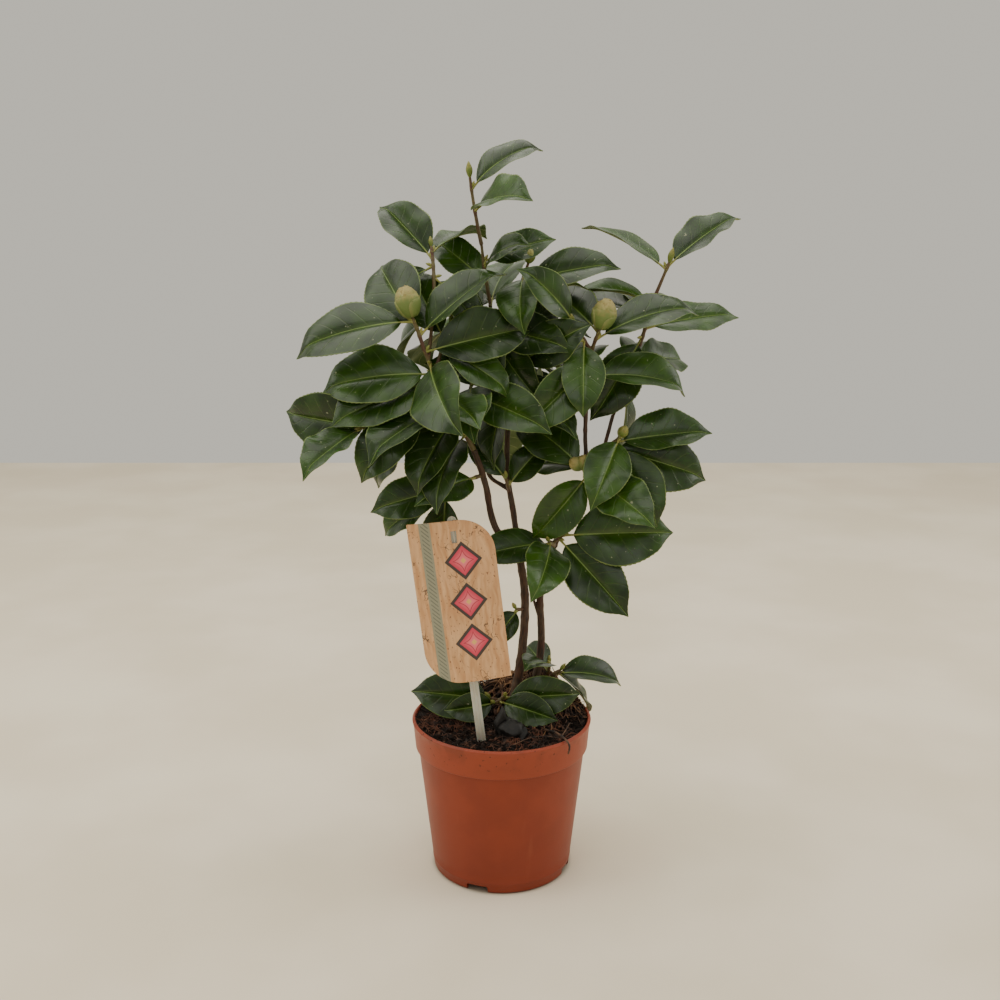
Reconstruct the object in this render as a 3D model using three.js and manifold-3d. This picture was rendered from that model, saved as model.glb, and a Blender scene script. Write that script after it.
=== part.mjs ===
// Camellia shrub growing in its nursery pot.
// Millimetres, +Z up. The origin is the middle of the pot's flat underside,
// and the front of the plant faces -Y.
import * as THREE from 'three';
import { mergeVertices } from 'three/addons/utils/BufferGeometryUtils.js';
import Module from 'manifold-3d';

const wasm = await Module();
wasm.setup();

// Gap kept between two pieces that would touch.
const GAP = 0.3;

// Pot: a tapered plastic nursery pot with a rim band and four drainage notches.
const POT_HEIGHT = 151;
const POT_RIM_RADIUS = 85;
const POT_FOOT_RADIUS = 65.5;
const POT_WALL = 2;
const POT_FLOOR = 3;
const POT_FOOT_ROUNDING = 3;
const POT_ROUNDING_STEPS = 3;
const POT_INNER_CORNER = 5;
const POT_RIM_BEVEL = 1;
const BAND_HEIGHT = 28.5;
const BAND_RADIUS = 82;
const BAND_STEP = 1;
const WALL_RADIUS_UNDER_BAND = 79;
const POT_SEGMENTS = 40;
const NOTCH_COUNT = 4;
const NOTCH_WIDTH = 21;
const NOTCH_HEIGHT = 7;
const NOTCH_ROUNDING = 2.5;
const NOTCH_DEPTH = 14;
const NOTCH_OVERCUT = 4;
const NOTCH_FIRST_ANGLE = -110.6;

// Compost: its level at the wall, the mound round the stems, a clod in front.
const SOIL_LEVEL = 146.5;
const SOIL_HILLS = [
  { x: 34, y: 34, height: 26.5, spread: 24 },
  { x: 4, y: -44, height: 4, spread: 11 },
];
const SOIL_EDGE_POWER = 6;
const SOIL_WALL_GAP = 0.5;
const SOIL_RINGS = 7;

// Label: a curled card with two rounded corners, on a flat plastic stick.
const CARD_WIDTH = 75;
const CARD_HEIGHT = 150;
const CARD_THICKNESS = 0.8;
const CARD_CORNER = 31;
const CARD_CENTRE = [-37.5, -55, 280];
const CARD_TILT = 7;
const CARD_CURL_RADIUS = 150;
const CARD_COLUMNS = 14;
const SLIT_ACROSS = 3;
const SLIT_UP = 60;
const SLIT_WIDTH = 5;
const SLIT_HEIGHT = 11;
const SLIT_DEPTH = 10;
const STICK_WIDTH = 8;
const STICK_THICKNESS = 2;
const STICK_FOOT = -182;
const STICK_TOP = 78.5;
const STICK_POINT_HEIGHT = 22;
const STICK_POINT_WIDTH = 3;

// Woody limbs: points along the middle, and the radius at foot and tip.
const ROOT_FLARE = 0.55;
const ROOT_FLARE_HEIGHT = 9;
const ROOT_FLARE_RING = 0.4;
const STEM_SIDES = 8;
const BOUGH_SIDES = 6;
const LIMB_STEPS_PER_SPAN = 2;
const LIMBS = [
  { name: 'stem_left', radii: [4.4, 3.5],
    path: [[11, 14, 153], [20, 12, 216], [22, 10, 264], [17, 8, 305]] },
  { name: 'stem_right', radii: [3.9, 3.0],
    path: [[31, 22, 163], [38, 20, 214], [37, 17, 269], [49, 14, 314]] },
  { name: 'bough_left', radii: [3.3, 2.7],
    path: [[17, 8, 305], [-6, 2, 335], [-15, -6, 378], [-25, -14, 410]] },
  { name: 'bough_centre', radii: [3.0, 2.4],
    path: [[17, 8, 305], [11, 14, 345], [5, 20, 385], [6, 26, 431]] },
  { name: 'bough_right', radii: [2.6, 2.2],
    path: [[49, 14, 314], [66, 10, 351], [83, 8, 380]] },
  { name: 'bough_right_up', radii: [2.1, 1.9],
    path: [[83, 8, 380], [77, 6, 402], [76, 5, 434], [78, 4, 467]] },
  { name: 'bough_right_back', radii: [2.0, 1.7],
    path: [[83, 8, 380], [93, 18, 402], [103, 28, 435]] },
  { name: 'bough_back', radii: [2.0, 1.7],
    path: [[7, 17, 367], [-12, 24, 380], [-16, 34, 410]] },
  { name: 'thin_twig', radii: [1.4, 1.0],
    path: [[37, 19, 238], [32, 17, 254], [28, 16, 270]] },
];

// Shoots and their leaves.
const TWIG_RADII = [1.9, 1.3];
const TWIG_SIDES = 4;
const TWIG_STEPS = 4;
const TWIG_TIP = 3;
const GOLDEN_ANGLE = 137.5;

// Ranges that a leaf is drawn from: its place on its stretch of the shoot, how
// far it strays round the shoot and up or down it, its length and width against
// the usual, how far its blade curls back, its roll and the fold of its halves.
// Every leaf has a seed of its own, counted on from its shoot's. A leaf that
// finds no room is drawn again, each time straying further and growing a little
// shorter, until its tries run out.
const SEEDS_PER_SHOOT = 10;
const TRIES = 40;
const STRAY_GROWTH = 0.25;
const SHRINK = 0.006;
const PLACE_RANGE = [0.1, 0.95];
const STRAY_RANGE = [-9, 9];
const LENGTH_RANGE = [0.92, 1.14];
const WIDTH_RANGE = [0.90, 1.12];
const BEND_RANGE = [10, 52];
const ROLL_RANGE = [-28, 28];
const FOLD_RANGE = [6, 24];

// Shape of a leaf, and the way its upper side turns: to the light, along the
// shoot and away from the middle of the crown.
const STALK_SHARE = 0.10;
const STALK_RADIUS = 1.1;
const LEAF_WIDTH_SHARE = 0.56;
const LEAF_BROADEST = 0.88;
const LEAF_FULLNESS = 0.80;
const LEAF_TAPER = 0.10;
const LEAF_THICKNESS = 1.5;
const LEAF_STATIONS = [0.10, 0.22, 0.42, 0.64, 0.85];
const LEAF_CLEARANCE = 0.4;
const BLADE_START = 0.13;
const CROWN_AXIS = [22, 14];
const LIGHT = [0, -0.55, 0.50];
const ALONG_SHOOT = 0.40;
const AWAY_FROM_CROWN = 0.35;
const SHORTEST_FACE = 0.15;

// Room in front of the label that leaves keep out of: its sides and its middle.
const LABEL_ROOM = [122, 90, 220];
const LABEL_ROOM_MIDDLE = [-49, -84, 257];

// Buds at the tips of shoots: length and radius.
const BUDS = {
  flower: { length: 26, radius: 9.3 },
  flower_small: { length: 13, radius: 5.6 },
  flower_green: { length: 11, radius: 4.4 },
  leaf: { length: 13, radius: 2.3 },
};
const BUD_LIFT = 0.5;
const BUD_SINK = 1;
const BUD_PROFILE = [[0, 0.35], [0.22, 0.86], [0.5, 1], [0.78, 0.66]];
const BUD_SIDES = 6;

// Masses of foliage, each a list of shoots. A shoot leaves its mother, a limb
// or an earlier shoot, at a share of her length, bends towards one point and
// ends at another. Its first share is bare. It bears `leaves` leaves, each
// about `leaf` long, and `ways` gives the way that the first of them point: how
// far clockwise from straight up as the front shows it, and how far towards the
// front. Every further leaf stands a golden angle round from the one before.
const MASSES = {
  crown_left: [
    { name: 'leader_low', from: 'bough_left', at: 1, via: [-41, -22, 443], tip: [-54, -28, 466],
      bare: 0.12, leaf: 92, leaves: 4, ways: [[214, 35], [224, 30], [242, 40], [110, 60]] },
    { name: 'leader_mid', from: 'leader_low', at: 1, via: [-60, -31, 483], tip: [-67, -33, 501],
      bare: 0.05, leaf: 104, leaves: 4, ways: [[242, 20], [266, 5], [150, 60], [70, -20]] },
    { name: 'leader_tip', from: 'leader_mid', at: 1, via: [-71, -34, 516], tip: [-77, -34, 530],
      bare: 0.2, leaf: 100, leaves: 3, ways: [[48, -5], [330, -30], [262, 5]], bud: 'flower' },
    { name: 'leader_in', from: 'leader_low', at: 0.4, via: [-30, -10, 459], tip: [-23, 2, 478],
      bare: 0.4, leaf: 86, leaves: 3, ways: [[110, 50], [225, 60], [20, -20]] },
    { name: 'leader_up', from: 'leader_mid', at: 0.35, via: [-52, -22, 504], tip: [-45, -14, 523],
      bare: 0.4, leaf: 86, leaves: 3, ways: [[60, 20], [330, -20], [250, -55]] },
    { name: 'twig_in', from: 'leader_low', at: 0.8, via: [-71, -32, 442], tip: [-93, -38, 436],
      bare: 0.35, leaf: 82, leaves: 4, ways: [[236, 30], [214, 20], [330, -30], [290, -55]] },
    { name: 'twig_out', from: 'twig_in', at: 1, via: [-109, -42, 433], tip: [-125, -44, 436],
      bare: 0.45, leaf: 80, leaves: 3, ways: [[276, 0], [40, -10], [242, 50]] },
    { name: 'rear_left_low', from: 'leader_mid', at: 0.75, via: [-61, -18, 517], tip: [-59, -8, 542],
      bare: 0.45, leaf: 88, leaves: 2, ways: [[28, -20], [270, -20]] },
    { name: 'rear_left_tip', from: 'rear_left_low', at: 1, via: [-59, 2, 568], tip: [-62, 8, 588],
      bare: 0.3, leaf: 76, leaves: 4, ways: [[110, 30], [225, 25], [326, -25], [60, -30]] },
  ],
  skirt_left: [
    { name: 'skirt_in', from: 'bough_left', at: 0.74, via: [-26, -14, 384], tip: [-36, -20, 382],
      bare: 0.2, leaf: 86, leaves: 2, ways: [[212, 55], [255, 0]] },
    { name: 'skirt_out', from: 'skirt_in', at: 1, via: [-46, -22, 377], tip: [-57, -22, 369],
      bare: 0.2, leaf: 82, leaves: 3, ways: [[232, 15], [196, 10], [290, -10]] },
  ],
  crown_top: [
    { name: 'top_low', from: 'bough_centre', at: 1, via: [3, 27, 454], tip: [-1, 27, 481],
      bare: 0.2, leaf: 90, leaves: 3, ways: [[320, 20], [100, 45], [230, 40]] },
    { name: 'top_mid', from: 'top_low', at: 1, via: [-7, 26, 513], tip: [-11, 26, 540],
      bare: 0.2, leaf: 88, leaves: 4, ways: [[195, 50], [78, 30], [270, 20], [20, -40]] },
    { name: 'top_left', from: 'top_mid', at: 0.5, via: [-21, 14, 523], tip: [-33, 4, 534],
      bare: 0.4, leaf: 80, leaves: 1, ways: [[200, 60]] },
    { name: 'top_front', from: 'top_low', at: 0.45, via: [11, 12, 474], tip: [18, 0, 496],
      bare: 0.35, leaf: 88, leaves: 3, ways: [[225, 30], [120, 60], [10, 0]] },
    { name: 'top_high', from: 'top_mid', at: 1, via: [-15, 25, 562], tip: [-18, 24, 589],
      bare: 0.3, leaf: 72, leaves: 4, ways: [[325, -20], [338, -10], [67, 10], [180, -55]] },
    { name: 'top_tip', from: 'top_high', at: 1, via: [-24, 22, 616], tip: [-28, 20, 647],
      bare: 0.1, leaf: 74, leaves: 2, ways: [[60, 62], [50, 0]], bud: 'leaf' },
    { name: 'side_low', from: 'top_low', at: 1, via: [6, 24, 511], tip: [13, 21, 540],
      bare: 0.25, leaf: 92, leaves: 2, ways: [[219, 45], [120, 50]] },
    { name: 'side_tip', from: 'side_low', at: 1, via: [18, 19, 556], tip: [24, 17, 574],
      bare: 0.1, leaf: 86, leaves: 2, ways: [[94, 5], [222, 15]], bud: 'flower_green' },
  ],
  crown_right: [
    { name: 'right_low', from: 'bough_right_up', at: 1, via: [78, 3, 481], tip: [80, 2, 496],
      bare: 0.05, leaf: 92, leaves: 2, ways: [[84, 5], [226, 20]] },
    { name: 'right_tip', from: 'right_low', at: 1, via: [83, -1, 507], tip: [87, -5, 518],
      bare: 0.1, leaf: 98, leaves: 2, ways: [[66, -5], [345, -40]], bud: 'flower' },
    { name: 'right_fork', from: 'right_low', at: 1, via: [72, -2, 508], tip: [63, -8, 523],
      bare: 0.4, leaf: 88, leaves: 3, ways: [[232, 25], [250, 5], [338, -25]] },
    { name: 'right_side', from: 'right_low', at: 0.1, via: [66, -4, 475], tip: [53, -10, 481],
      bare: 0.4, leaf: 84, leaves: 2, ways: [[180, 45], [60, -50]] },
  ],
  crown_rear: [
    { name: 'rear_low', from: 'bough_right_back', at: 1, via: [118, 34, 467], tip: [127, 38, 498],
      bare: 0.15, leaf: 80, leaves: 4, ways: [[300, -30], [212, 10], [30, -70], [130, -65]] },
    { name: 'rear_mid', from: 'rear_low', at: 1, via: [133, 40, 516], tip: [138, 42, 537],
      bare: 0.2, leaf: 86, leaves: 5, ways: [[215, 20], [76, -5], [300, -30], [5, -70], [240, -50]] },
    { name: 'rear_tip', from: 'rear_mid', at: 1, via: [145, 41, 554], tip: [152, 39, 573],
      bare: 0.75, leaf: 90, leaves: 2, ways: [[312, -25], [52, -18]], bud: 'leaf' },
  ],
  middle_right: [
    { name: 'mid_front', from: 'bough_right', at: 1, via: [77, -3, 386], tip: [72, -12, 394],
      bare: 0.2, leaf: 88, leaves: 4,
      ways: [[223, 25], [128, 50], [305, 0], [345, -10]], bud: 'flower_small' },
  ],
  outer_right: [
    { name: 'mid_side', from: 'bough_right_back', at: 0.5, via: [101, 13, 410], tip: [108, 6, 419],
      bare: 0.2, leaf: 90, leaves: 4,
      ways: [[98, 5], [150, 25], [58, -10], [210, 50]], bud: 'flower_green' },
  ],
  lower_right: [
    { name: 'spur_left', from: 'stem_right', at: 1, via: [46, 2, 320], tip: [43, -8, 324],
      bare: 0.25, leaf: 86, leaves: 2, ways: [[272, 8], [225, 68]] },
    { name: 'spur_right', from: 'spur_left', at: 0.3, via: [52, 0, 325], tip: [58, -8, 331],
      bare: 0.2, leaf: 92, leaves: 2, ways: [[124, 22], [78, 15]] },
  ],
  base_left: [
    { name: 'base_stem_left', from: [3, 14, 149], via: [2, 12, 156], tip: [0, 9, 163],
      bare: 1, leaf: 86, leaves: 0, ways: [] },
    { name: 'base_west', from: 'base_stem_left', at: 1, via: [-4, 5, 162], tip: [-11, 2, 167],
      bare: 0.2, leaf: 80, leaves: 1, ways: [[274, 5]] },
    { name: 'base_low', from: 'base_stem_left', at: 0.8, via: [-3, 2, 163], tip: [-7, -6, 165],
      bare: 0.2, leaf: 62, leaves: 2, ways: [[108, 40], [242, 56]] },
    { name: 'base_east', from: 'base_stem_left', at: 1, via: [2, 3, 167], tip: [3, -4, 171],
      bare: 0.2, leaf: 80, leaves: 1, ways: [[88, 15]] },
  ],
  base_right: [
    { name: 'base_stem_right', from: [43, 24, 164], via: [43, 25, 171], tip: [43, 26, 177],
      bare: 1, leaf: 86, leaves: 0, ways: [] },
    { name: 'base_up', from: 'base_stem_right', at: 1, via: [47, 22, 187], tip: [46, 19, 196],
      bare: 0.3, leaf: 62, leaves: 2, ways: [[335, -5], [250, 30]] },
    { name: 'base_far', from: 'base_stem_right', at: 1, via: [52, 27, 182], tip: [57, 26, 186],
      bare: 0.3, leaf: 78, leaves: 2, ways: [[82, -5], [110, 10]] },
  ],
  stem_spur: [
    { name: 'stem_spur', from: 'stem_left', at: 0.6, via: [17, 6, 252], tip: [13, 0, 257],
      bare: 0.3, leaf: 48, leaves: 1, ways: [[236, 40]] },
  ],
  fork_spur: [
    { name: 'fork_spur', from: 'bough_centre', at: 0.5, via: [5, 8, 374], tip: [4, 2, 381],
      bare: 0.2, leaf: 60, leaves: 2, ways: [[36, 0], [345, -30]] },
  ],
  crown_back: [
    { name: 'back_low', from: 'bough_back', at: 1, via: [-18, 44, 437], tip: [-20, 54, 464],
      bare: 0.15, leaf: 88, leaves: 5, ways: [[270, -40], [60, -50], [180, -50]] },
    { name: 'back_top', from: 'back_low', at: 1, via: [-24, 60, 496], tip: [-26, 62, 529],
      bare: 0.2, leaf: 84, leaves: 6, ways: [[300, -50], [80, -40], [200, -60], [340, -40]] },
    { name: 'back_side', from: 'back_low', at: 0.45, via: [8, 66, 453], tip: [32, 82, 487],
      bare: 0.3, leaf: 86, leaves: 6, ways: [[90, -30], [200, -50], [20, -40], [270, -60]] },
  ],
};

const degrees = THREE.MathUtils.degToRad;
const vector = ([x, y, z]) => new THREE.Vector3(x, y, z);
const between = ([low, high], share) => low + (high - low) * share;
const shift = (point, direction, length) => point.clone().addScaledVector(direction, length);

// Turns a closed three.js geometry into a solid that can be joined and cut.
function toSolid(geometry) {
  const bare = geometry.clone();
  bare.deleteAttribute('normal');
  bare.deleteAttribute('uv');
  const merged = mergeVertices(bare, 1e-4);
  const index = merged.index.array;
  const triangles = [];
  for (let i = 0; i < index.length; i += 3) {
    const [a, b, c] = index.slice(i, i + 3);
    if (a !== b && b !== c && c !== a) triangles.push(a, b, c);
  }
  return new wasm.Manifold(new wasm.Mesh({
    numProp: 3,
    vertProperties: new Float32Array(merged.attributes.position.array),
    triVerts: new Uint32Array(triangles),
  }));
}

function toGeometry(solid) {
  const mesh = solid.getMesh();
  const geometry = new THREE.BufferGeometry();
  geometry.setAttribute('position', new THREE.BufferAttribute(new Float32Array(mesh.vertProperties), 3));
  geometry.setIndex(new THREE.BufferAttribute(new Uint32Array(mesh.triVerts), 1));
  geometry.computeVertexNormals();
  return geometry;
}

// Skins a row of rings into a closed body. A ring turns right-handed about
// the way the row runs, and the row may start or end on a single point.
function skin(rings) {
  const points = rings.flat();
  const triangles = [];
  const starts = [];
  let count = 0;
  for (const ring of rings) {
    starts.push(count);
    count += ring.length;
  }
  const size = Math.max(...rings.map((ring) => ring.length));
  for (let r = 0; r + 1 < rings.length; r += 1) {
    for (let i = 0; i < size; i += 1) {
      const j = (i + 1) % size;
      const a = starts[r];
      const b = starts[r + 1];
      if (rings[r].length === 1) triangles.push(a, b + j, b + i);
      else if (rings[r + 1].length === 1) triangles.push(a + i, a + j, b);
      else triangles.push(a + i, a + j, b + j, a + i, b + j, b + i);
    }
  }
  const last = starts[starts.length - 1];
  for (let i = 1; i + 1 < size; i += 1) {
    if (rings[0].length > 1) triangles.push(0, i + 1, i);
    if (rings[rings.length - 1].length > 1) triangles.push(last, last + i, last + i + 1);
  }
  const geometry = new THREE.BufferGeometry();
  const positions = new Float32Array(points.flatMap((point) => point.toArray()));
  geometry.setAttribute('position', new THREE.BufferAttribute(positions, 3));
  geometry.setIndex(triangles);
  return geometry;
}

// A round tube along points, with a radius at each of them.
function tube(points, radii, sides) {
  const rings = [];
  let across = new THREE.Vector3(1, 0, 0);
  for (let i = 0; i < points.length; i += 1) {
    const before = points[Math.max(0, i - 1)];
    const after = points[Math.min(points.length - 1, i + 1)];
    const along = after.clone().sub(before).normalize();
    across = shift(across, along, -across.dot(along)).normalize();
    const third = along.clone().cross(across);
    const ring = [];
    for (let k = 0; k < sides; k += 1) {
      const angle = (2 * Math.PI * k) / sides;
      const side = shift(across.clone().multiplyScalar(Math.cos(angle)), third, Math.sin(angle));
      ring.push(shift(points[i], side, radii[i]));
    }
    rings.push(ring);
  }
  return rings;
}

// Random numbers from 0 to 1 that a seed fixes.
function seeded(seed) {
  let state = seed >>> 0;
  return () => {
    state = (state + 0x6D2B79F5) >>> 0;
    let mixed = state;
    mixed = Math.imul(mixed ^ (mixed >>> 15), mixed | 1);
    mixed ^= mixed + Math.imul(mixed ^ (mixed >>> 7), mixed | 61);
    return ((mixed ^ (mixed >>> 14)) >>> 0) / 4294967296;
  };
}

// Pot

function potWallRadius(height) {
  const share = height / (POT_HEIGHT - BAND_HEIGHT);
  return POT_FOOT_RADIUS + (WALL_RADIUS_UNDER_BAND - POT_FOOT_RADIUS) * share;
}

function makePot() {
  const bandFoot = POT_HEIGHT - BAND_HEIGHT;
  const round = POT_FOOT_ROUNDING;
  const roundCentre = potWallRadius(round) - round;
  const profile = [[0, 0]];
  for (let i = 0; i <= POT_ROUNDING_STEPS; i += 1) {
    const angle = (Math.PI / 2) * (i / POT_ROUNDING_STEPS - 1);
    profile.push([roundCentre + round * Math.cos(angle), round + round * Math.sin(angle)]);
  }
  const corner = POT_INNER_CORNER;
  profile.push(
    [WALL_RADIUS_UNDER_BAND, bandFoot - BAND_STEP / 2],
    [BAND_RADIUS, bandFoot + BAND_STEP / 2],
    [POT_RIM_RADIUS, POT_HEIGHT - POT_RIM_BEVEL],
    [POT_RIM_RADIUS - POT_RIM_BEVEL, POT_HEIGHT],
    [POT_RIM_RADIUS - POT_WALL, POT_HEIGHT],
    [BAND_RADIUS - POT_WALL, bandFoot + BAND_STEP],
    [WALL_RADIUS_UNDER_BAND - POT_WALL, bandFoot - 2 * BAND_STEP],
    [potWallRadius(POT_FLOOR + corner) - POT_WALL, POT_FLOOR + corner],
    [potWallRadius(POT_FLOOR) - POT_WALL - corner, POT_FLOOR],
    [0, POT_FLOOR],
  );
  const outline = profile.map(([radius, height]) => new THREE.Vector2(radius, height));
  let pot = toSolid(new THREE.LatheGeometry(outline, POT_SEGMENTS).rotateX(Math.PI / 2));

  const half = NOTCH_WIDTH / 2;
  const shoulder = NOTCH_HEIGHT - NOTCH_ROUNDING;
  const notch = new THREE.Shape();
  notch.moveTo(-half, -GAP);
  notch.lineTo(half, -GAP);
  notch.lineTo(half, shoulder);
  notch.absarc(half - NOTCH_ROUNDING, shoulder, NOTCH_ROUNDING, 0, Math.PI / 2);
  notch.absarc(NOTCH_ROUNDING - half, shoulder, NOTCH_ROUNDING, Math.PI / 2, Math.PI);
  const settings = { depth: NOTCH_DEPTH, bevelEnabled: false, curveSegments: 3 };
  const reach = potWallRadius(0) + NOTCH_OVERCUT - NOTCH_DEPTH;
  for (let i = 0; i < NOTCH_COUNT; i += 1) {
    const angle = degrees(NOTCH_FIRST_ANGLE + (360 / NOTCH_COUNT) * i);
    const cutter = new THREE.ExtrudeGeometry(notch, settings);
    cutter.rotateX(Math.PI / 2);
    cutter.rotateZ(Math.PI / 2 + angle);
    cutter.translate(reach * Math.cos(angle), reach * Math.sin(angle), 0);
    pot = pot.subtract(toSolid(cutter));
  }
  return pot;
}

// Compost

const soilEdge = BAND_RADIUS + (POT_RIM_RADIUS - BAND_RADIUS)
  * ((SOIL_LEVEL + BAND_HEIGHT - POT_HEIGHT) / BAND_HEIGHT) - POT_WALL - SOIL_WALL_GAP;

// Height of the compost, whose hills die away towards the wall.
function soilHeight(x, y) {
  let hills = 0;
  for (const hill of SOIL_HILLS) {
    const squared = (x - hill.x) ** 2 + (y - hill.y) ** 2;
    hills += hill.height * Math.exp(-squared / (2 * hill.spread ** 2));
  }
  return SOIL_LEVEL + hills * (1 - (Math.hypot(x, y) / soilEdge) ** SOIL_EDGE_POWER);
}

function soilRing(radius, heightAt) {
  const ring = [];
  for (let i = 0; i < POT_SEGMENTS; i += 1) {
    const angle = (2 * Math.PI * i) / POT_SEGMENTS;
    const x = radius * Math.cos(angle);
    const y = radius * Math.sin(angle);
    ring.push(new THREE.Vector3(x, y, heightAt(x, y)));
  }
  return ring;
}

function makeCompost() {
  const bandFoot = POT_HEIGHT - BAND_HEIGHT;
  const inside = POT_WALL + SOIL_WALL_GAP;
  const corner = POT_INNER_CORNER;
  const rings = [
    [new THREE.Vector3(0, 0, POT_FLOOR + GAP)],
    soilRing(potWallRadius(POT_FLOOR) - inside - corner, () => POT_FLOOR + GAP),
    soilRing(potWallRadius(POT_FLOOR + corner) - inside, () => POT_FLOOR + corner),
    soilRing(WALL_RADIUS_UNDER_BAND - inside, () => bandFoot - 2 * BAND_STEP),
    soilRing(BAND_RADIUS - inside, () => bandFoot + BAND_STEP),
  ];
  for (let step = 0; step < SOIL_RINGS; step += 1) {
    rings.push(soilRing(soilEdge * (1 - step / SOIL_RINGS), soilHeight));
  }
  rings.push([new THREE.Vector3(0, 0, soilHeight(0, 0))]);
  return toSolid(skin(rings));
}

// Label

// A point of the card: across and up it from its middle, and behind its face.
function cardPoint(across, up, behind) {
  const tilt = degrees(CARD_TILT);
  const curl = CARD_CURL_RADIUS - Math.sqrt(CARD_CURL_RADIUS ** 2 - across ** 2);
  const [x, y, z] = CARD_CENTRE;
  return new THREE.Vector3(
    x + across * Math.cos(tilt) - up * Math.sin(tilt),
    y + curl + behind,
    z + across * Math.sin(tilt) + up * Math.cos(tilt),
  );
}

// The card's top edge is rounded at its right end, and its bottom edge, which
// is the same line turned half round, at its left end.
function cardTop(across) {
  const past = Math.max(0, across - (CARD_WIDTH / 2 - CARD_CORNER));
  return CARD_HEIGHT / 2 - CARD_CORNER + Math.sqrt(CARD_CORNER ** 2 - past ** 2);
}

function makeCard() {
  const rings = [];
  for (let i = 0; i <= CARD_COLUMNS; i += 1) {
    const across = (-CARD_WIDTH / 2) * Math.cos((Math.PI * i) / CARD_COLUMNS);
    const top = cardTop(across);
    const bottom = -cardTop(-across);
    rings.push([
      cardPoint(across, bottom, CARD_THICKNESS),
      cardPoint(across, top, CARD_THICKNESS),
      cardPoint(across, top, 0),
      cardPoint(across, bottom, 0),
    ]);
  }
  const slit = new THREE.BoxGeometry(SLIT_WIDTH, SLIT_DEPTH, SLIT_HEIGHT).rotateY(degrees(-CARD_TILT));
  const place = cardPoint(SLIT_ACROSS, SLIT_UP, 0);
  slit.translate(place.x, place.y, place.z);
  return toSolid(skin(rings)).subtract(toSolid(slit));
}

function makeStick(spare = 0) {
  const half = STICK_WIDTH / 2 + spare;
  const point = STICK_POINT_WIDTH / 2 + spare;
  const outline = new THREE.Shape();
  outline.moveTo(-point, STICK_FOOT - spare);
  outline.lineTo(point, STICK_FOOT - spare);
  outline.lineTo(half, STICK_FOOT + STICK_POINT_HEIGHT);
  outline.lineTo(half, STICK_TOP - half);
  outline.absarc(0, STICK_TOP - half, half, 0, Math.PI);
  outline.lineTo(-half, STICK_FOOT + STICK_POINT_HEIGHT);
  const depth = STICK_THICKNESS + 2 * spare;
  const stick = new THREE.ExtrudeGeometry(outline, { depth, bevelEnabled: false, curveSegments: 6 });
  stick.rotateX(Math.PI / 2);
  stick.rotateY(degrees(-CARD_TILT));
  const place = cardPoint(SLIT_ACROSS, 0, CARD_THICKNESS + GAP + STICK_THICKNESS + spare);
  stick.translate(place.x, place.y, place.z);
  return toSolid(stick);
}

// Limbs

// A point of a limb's middle line, which is a smooth curve through its points.
function limbPoint(path, share) {
  const spans = path.length - 1;
  const place = Math.min(spans - 1e-9, Math.max(0, share * spans));
  const i = Math.floor(place);
  const t = place - i;
  const b = vector(path[i]);
  const c = vector(path[i + 1]);
  const a = i > 0 ? vector(path[i - 1]) : b.clone().multiplyScalar(2).sub(c);
  const d = i + 2 <= spans ? vector(path[i + 2]) : c.clone().multiplyScalar(2).sub(b);
  const point = new THREE.Vector3();
  point.addScaledVector(a, 0.5 * (-t + 2 * t * t - t * t * t));
  point.addScaledVector(b, 0.5 * (2 - 5 * t * t + 3 * t * t * t));
  point.addScaledVector(c, 0.5 * (t + 4 * t * t - 3 * t * t * t));
  point.addScaledVector(d, 0.5 * (-t * t + t * t * t));
  return point;
}

// A limb, or the space it needs when it is grown by some spare room.
function makeLimb(limb, spare = 0) {
  const steps = LIMB_STEPS_PER_SPAN * (limb.path.length - 1);
  const isStem = limb.name.startsWith('stem');
  const shares = isStem ? [0, ROOT_FLARE_RING / steps] : [0];
  for (let i = 1; i <= steps; i += 1) shares.push(i / steps);
  const points = shares.map((share) => limbPoint(limb.path, share));
  const radii = shares.map((share, i) => {
    const height = points[i].z - points[0].z;
    const flare = isStem ? ROOT_FLARE * Math.exp(-height / ROOT_FLARE_HEIGHT) : 0;
    return between(limb.radii, share) * (1 + flare) + spare;
  });
  const footWay = points[0].clone().sub(points[1]).normalize();
  const tipWay = points.at(-1).clone().sub(points.at(-2)).normalize();
  points[0].addScaledVector(footWay, spare);
  points.at(-1).addScaledVector(tipWay, spare);
  const rings = tube(points, radii, isStem ? STEM_SIDES : BOUGH_SIDES);
  if (isStem) {
    const level = limb.path[0][2] - spare;
    for (const corner of rings[0]) corner.z = level;
  }
  return toSolid(skin(rings));
}

// Shoots, leaves and buds

// Bends of a shoot: where it starts, the point it bends towards, its tip.
function shootBends(shoot, earlier) {
  let start;
  if (Array.isArray(shoot.from)) {
    start = vector(shoot.from);
  } else {
    const limb = LIMBS.find((one) => one.name === shoot.from);
    start = limb ? limbPoint(limb.path, shoot.at) : curvePoint(earlier.get(shoot.from), shoot.at);
  }
  return [start, vector(shoot.via), vector(shoot.tip)];
}

function curvePoint([a, b, c], t) {
  const point = a.clone().multiplyScalar((1 - t) ** 2);
  return point.addScaledVector(b, 2 * t * (1 - t)).addScaledVector(c, t * t);
}

function curveDirection([a, b, c], t) {
  const direction = b.clone().sub(a).multiplyScalar(1 - t);
  return direction.addScaledVector(c.clone().sub(b), t).normalize();
}

function makeTwig(bends) {
  const points = [];
  const radii = [];
  for (let i = 0; i <= TWIG_STEPS; i += 1) {
    const share = i / TWIG_STEPS;
    points.push(curvePoint(bends, share));
    radii.push(between(TWIG_RADII, share));
  }
  const tip = shift(points.at(-1), curveDirection(bends, 1), TWIG_TIP);
  return toSolid(skin([...tube(points, radii, TWIG_SIDES), [tip]]));
}

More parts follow.
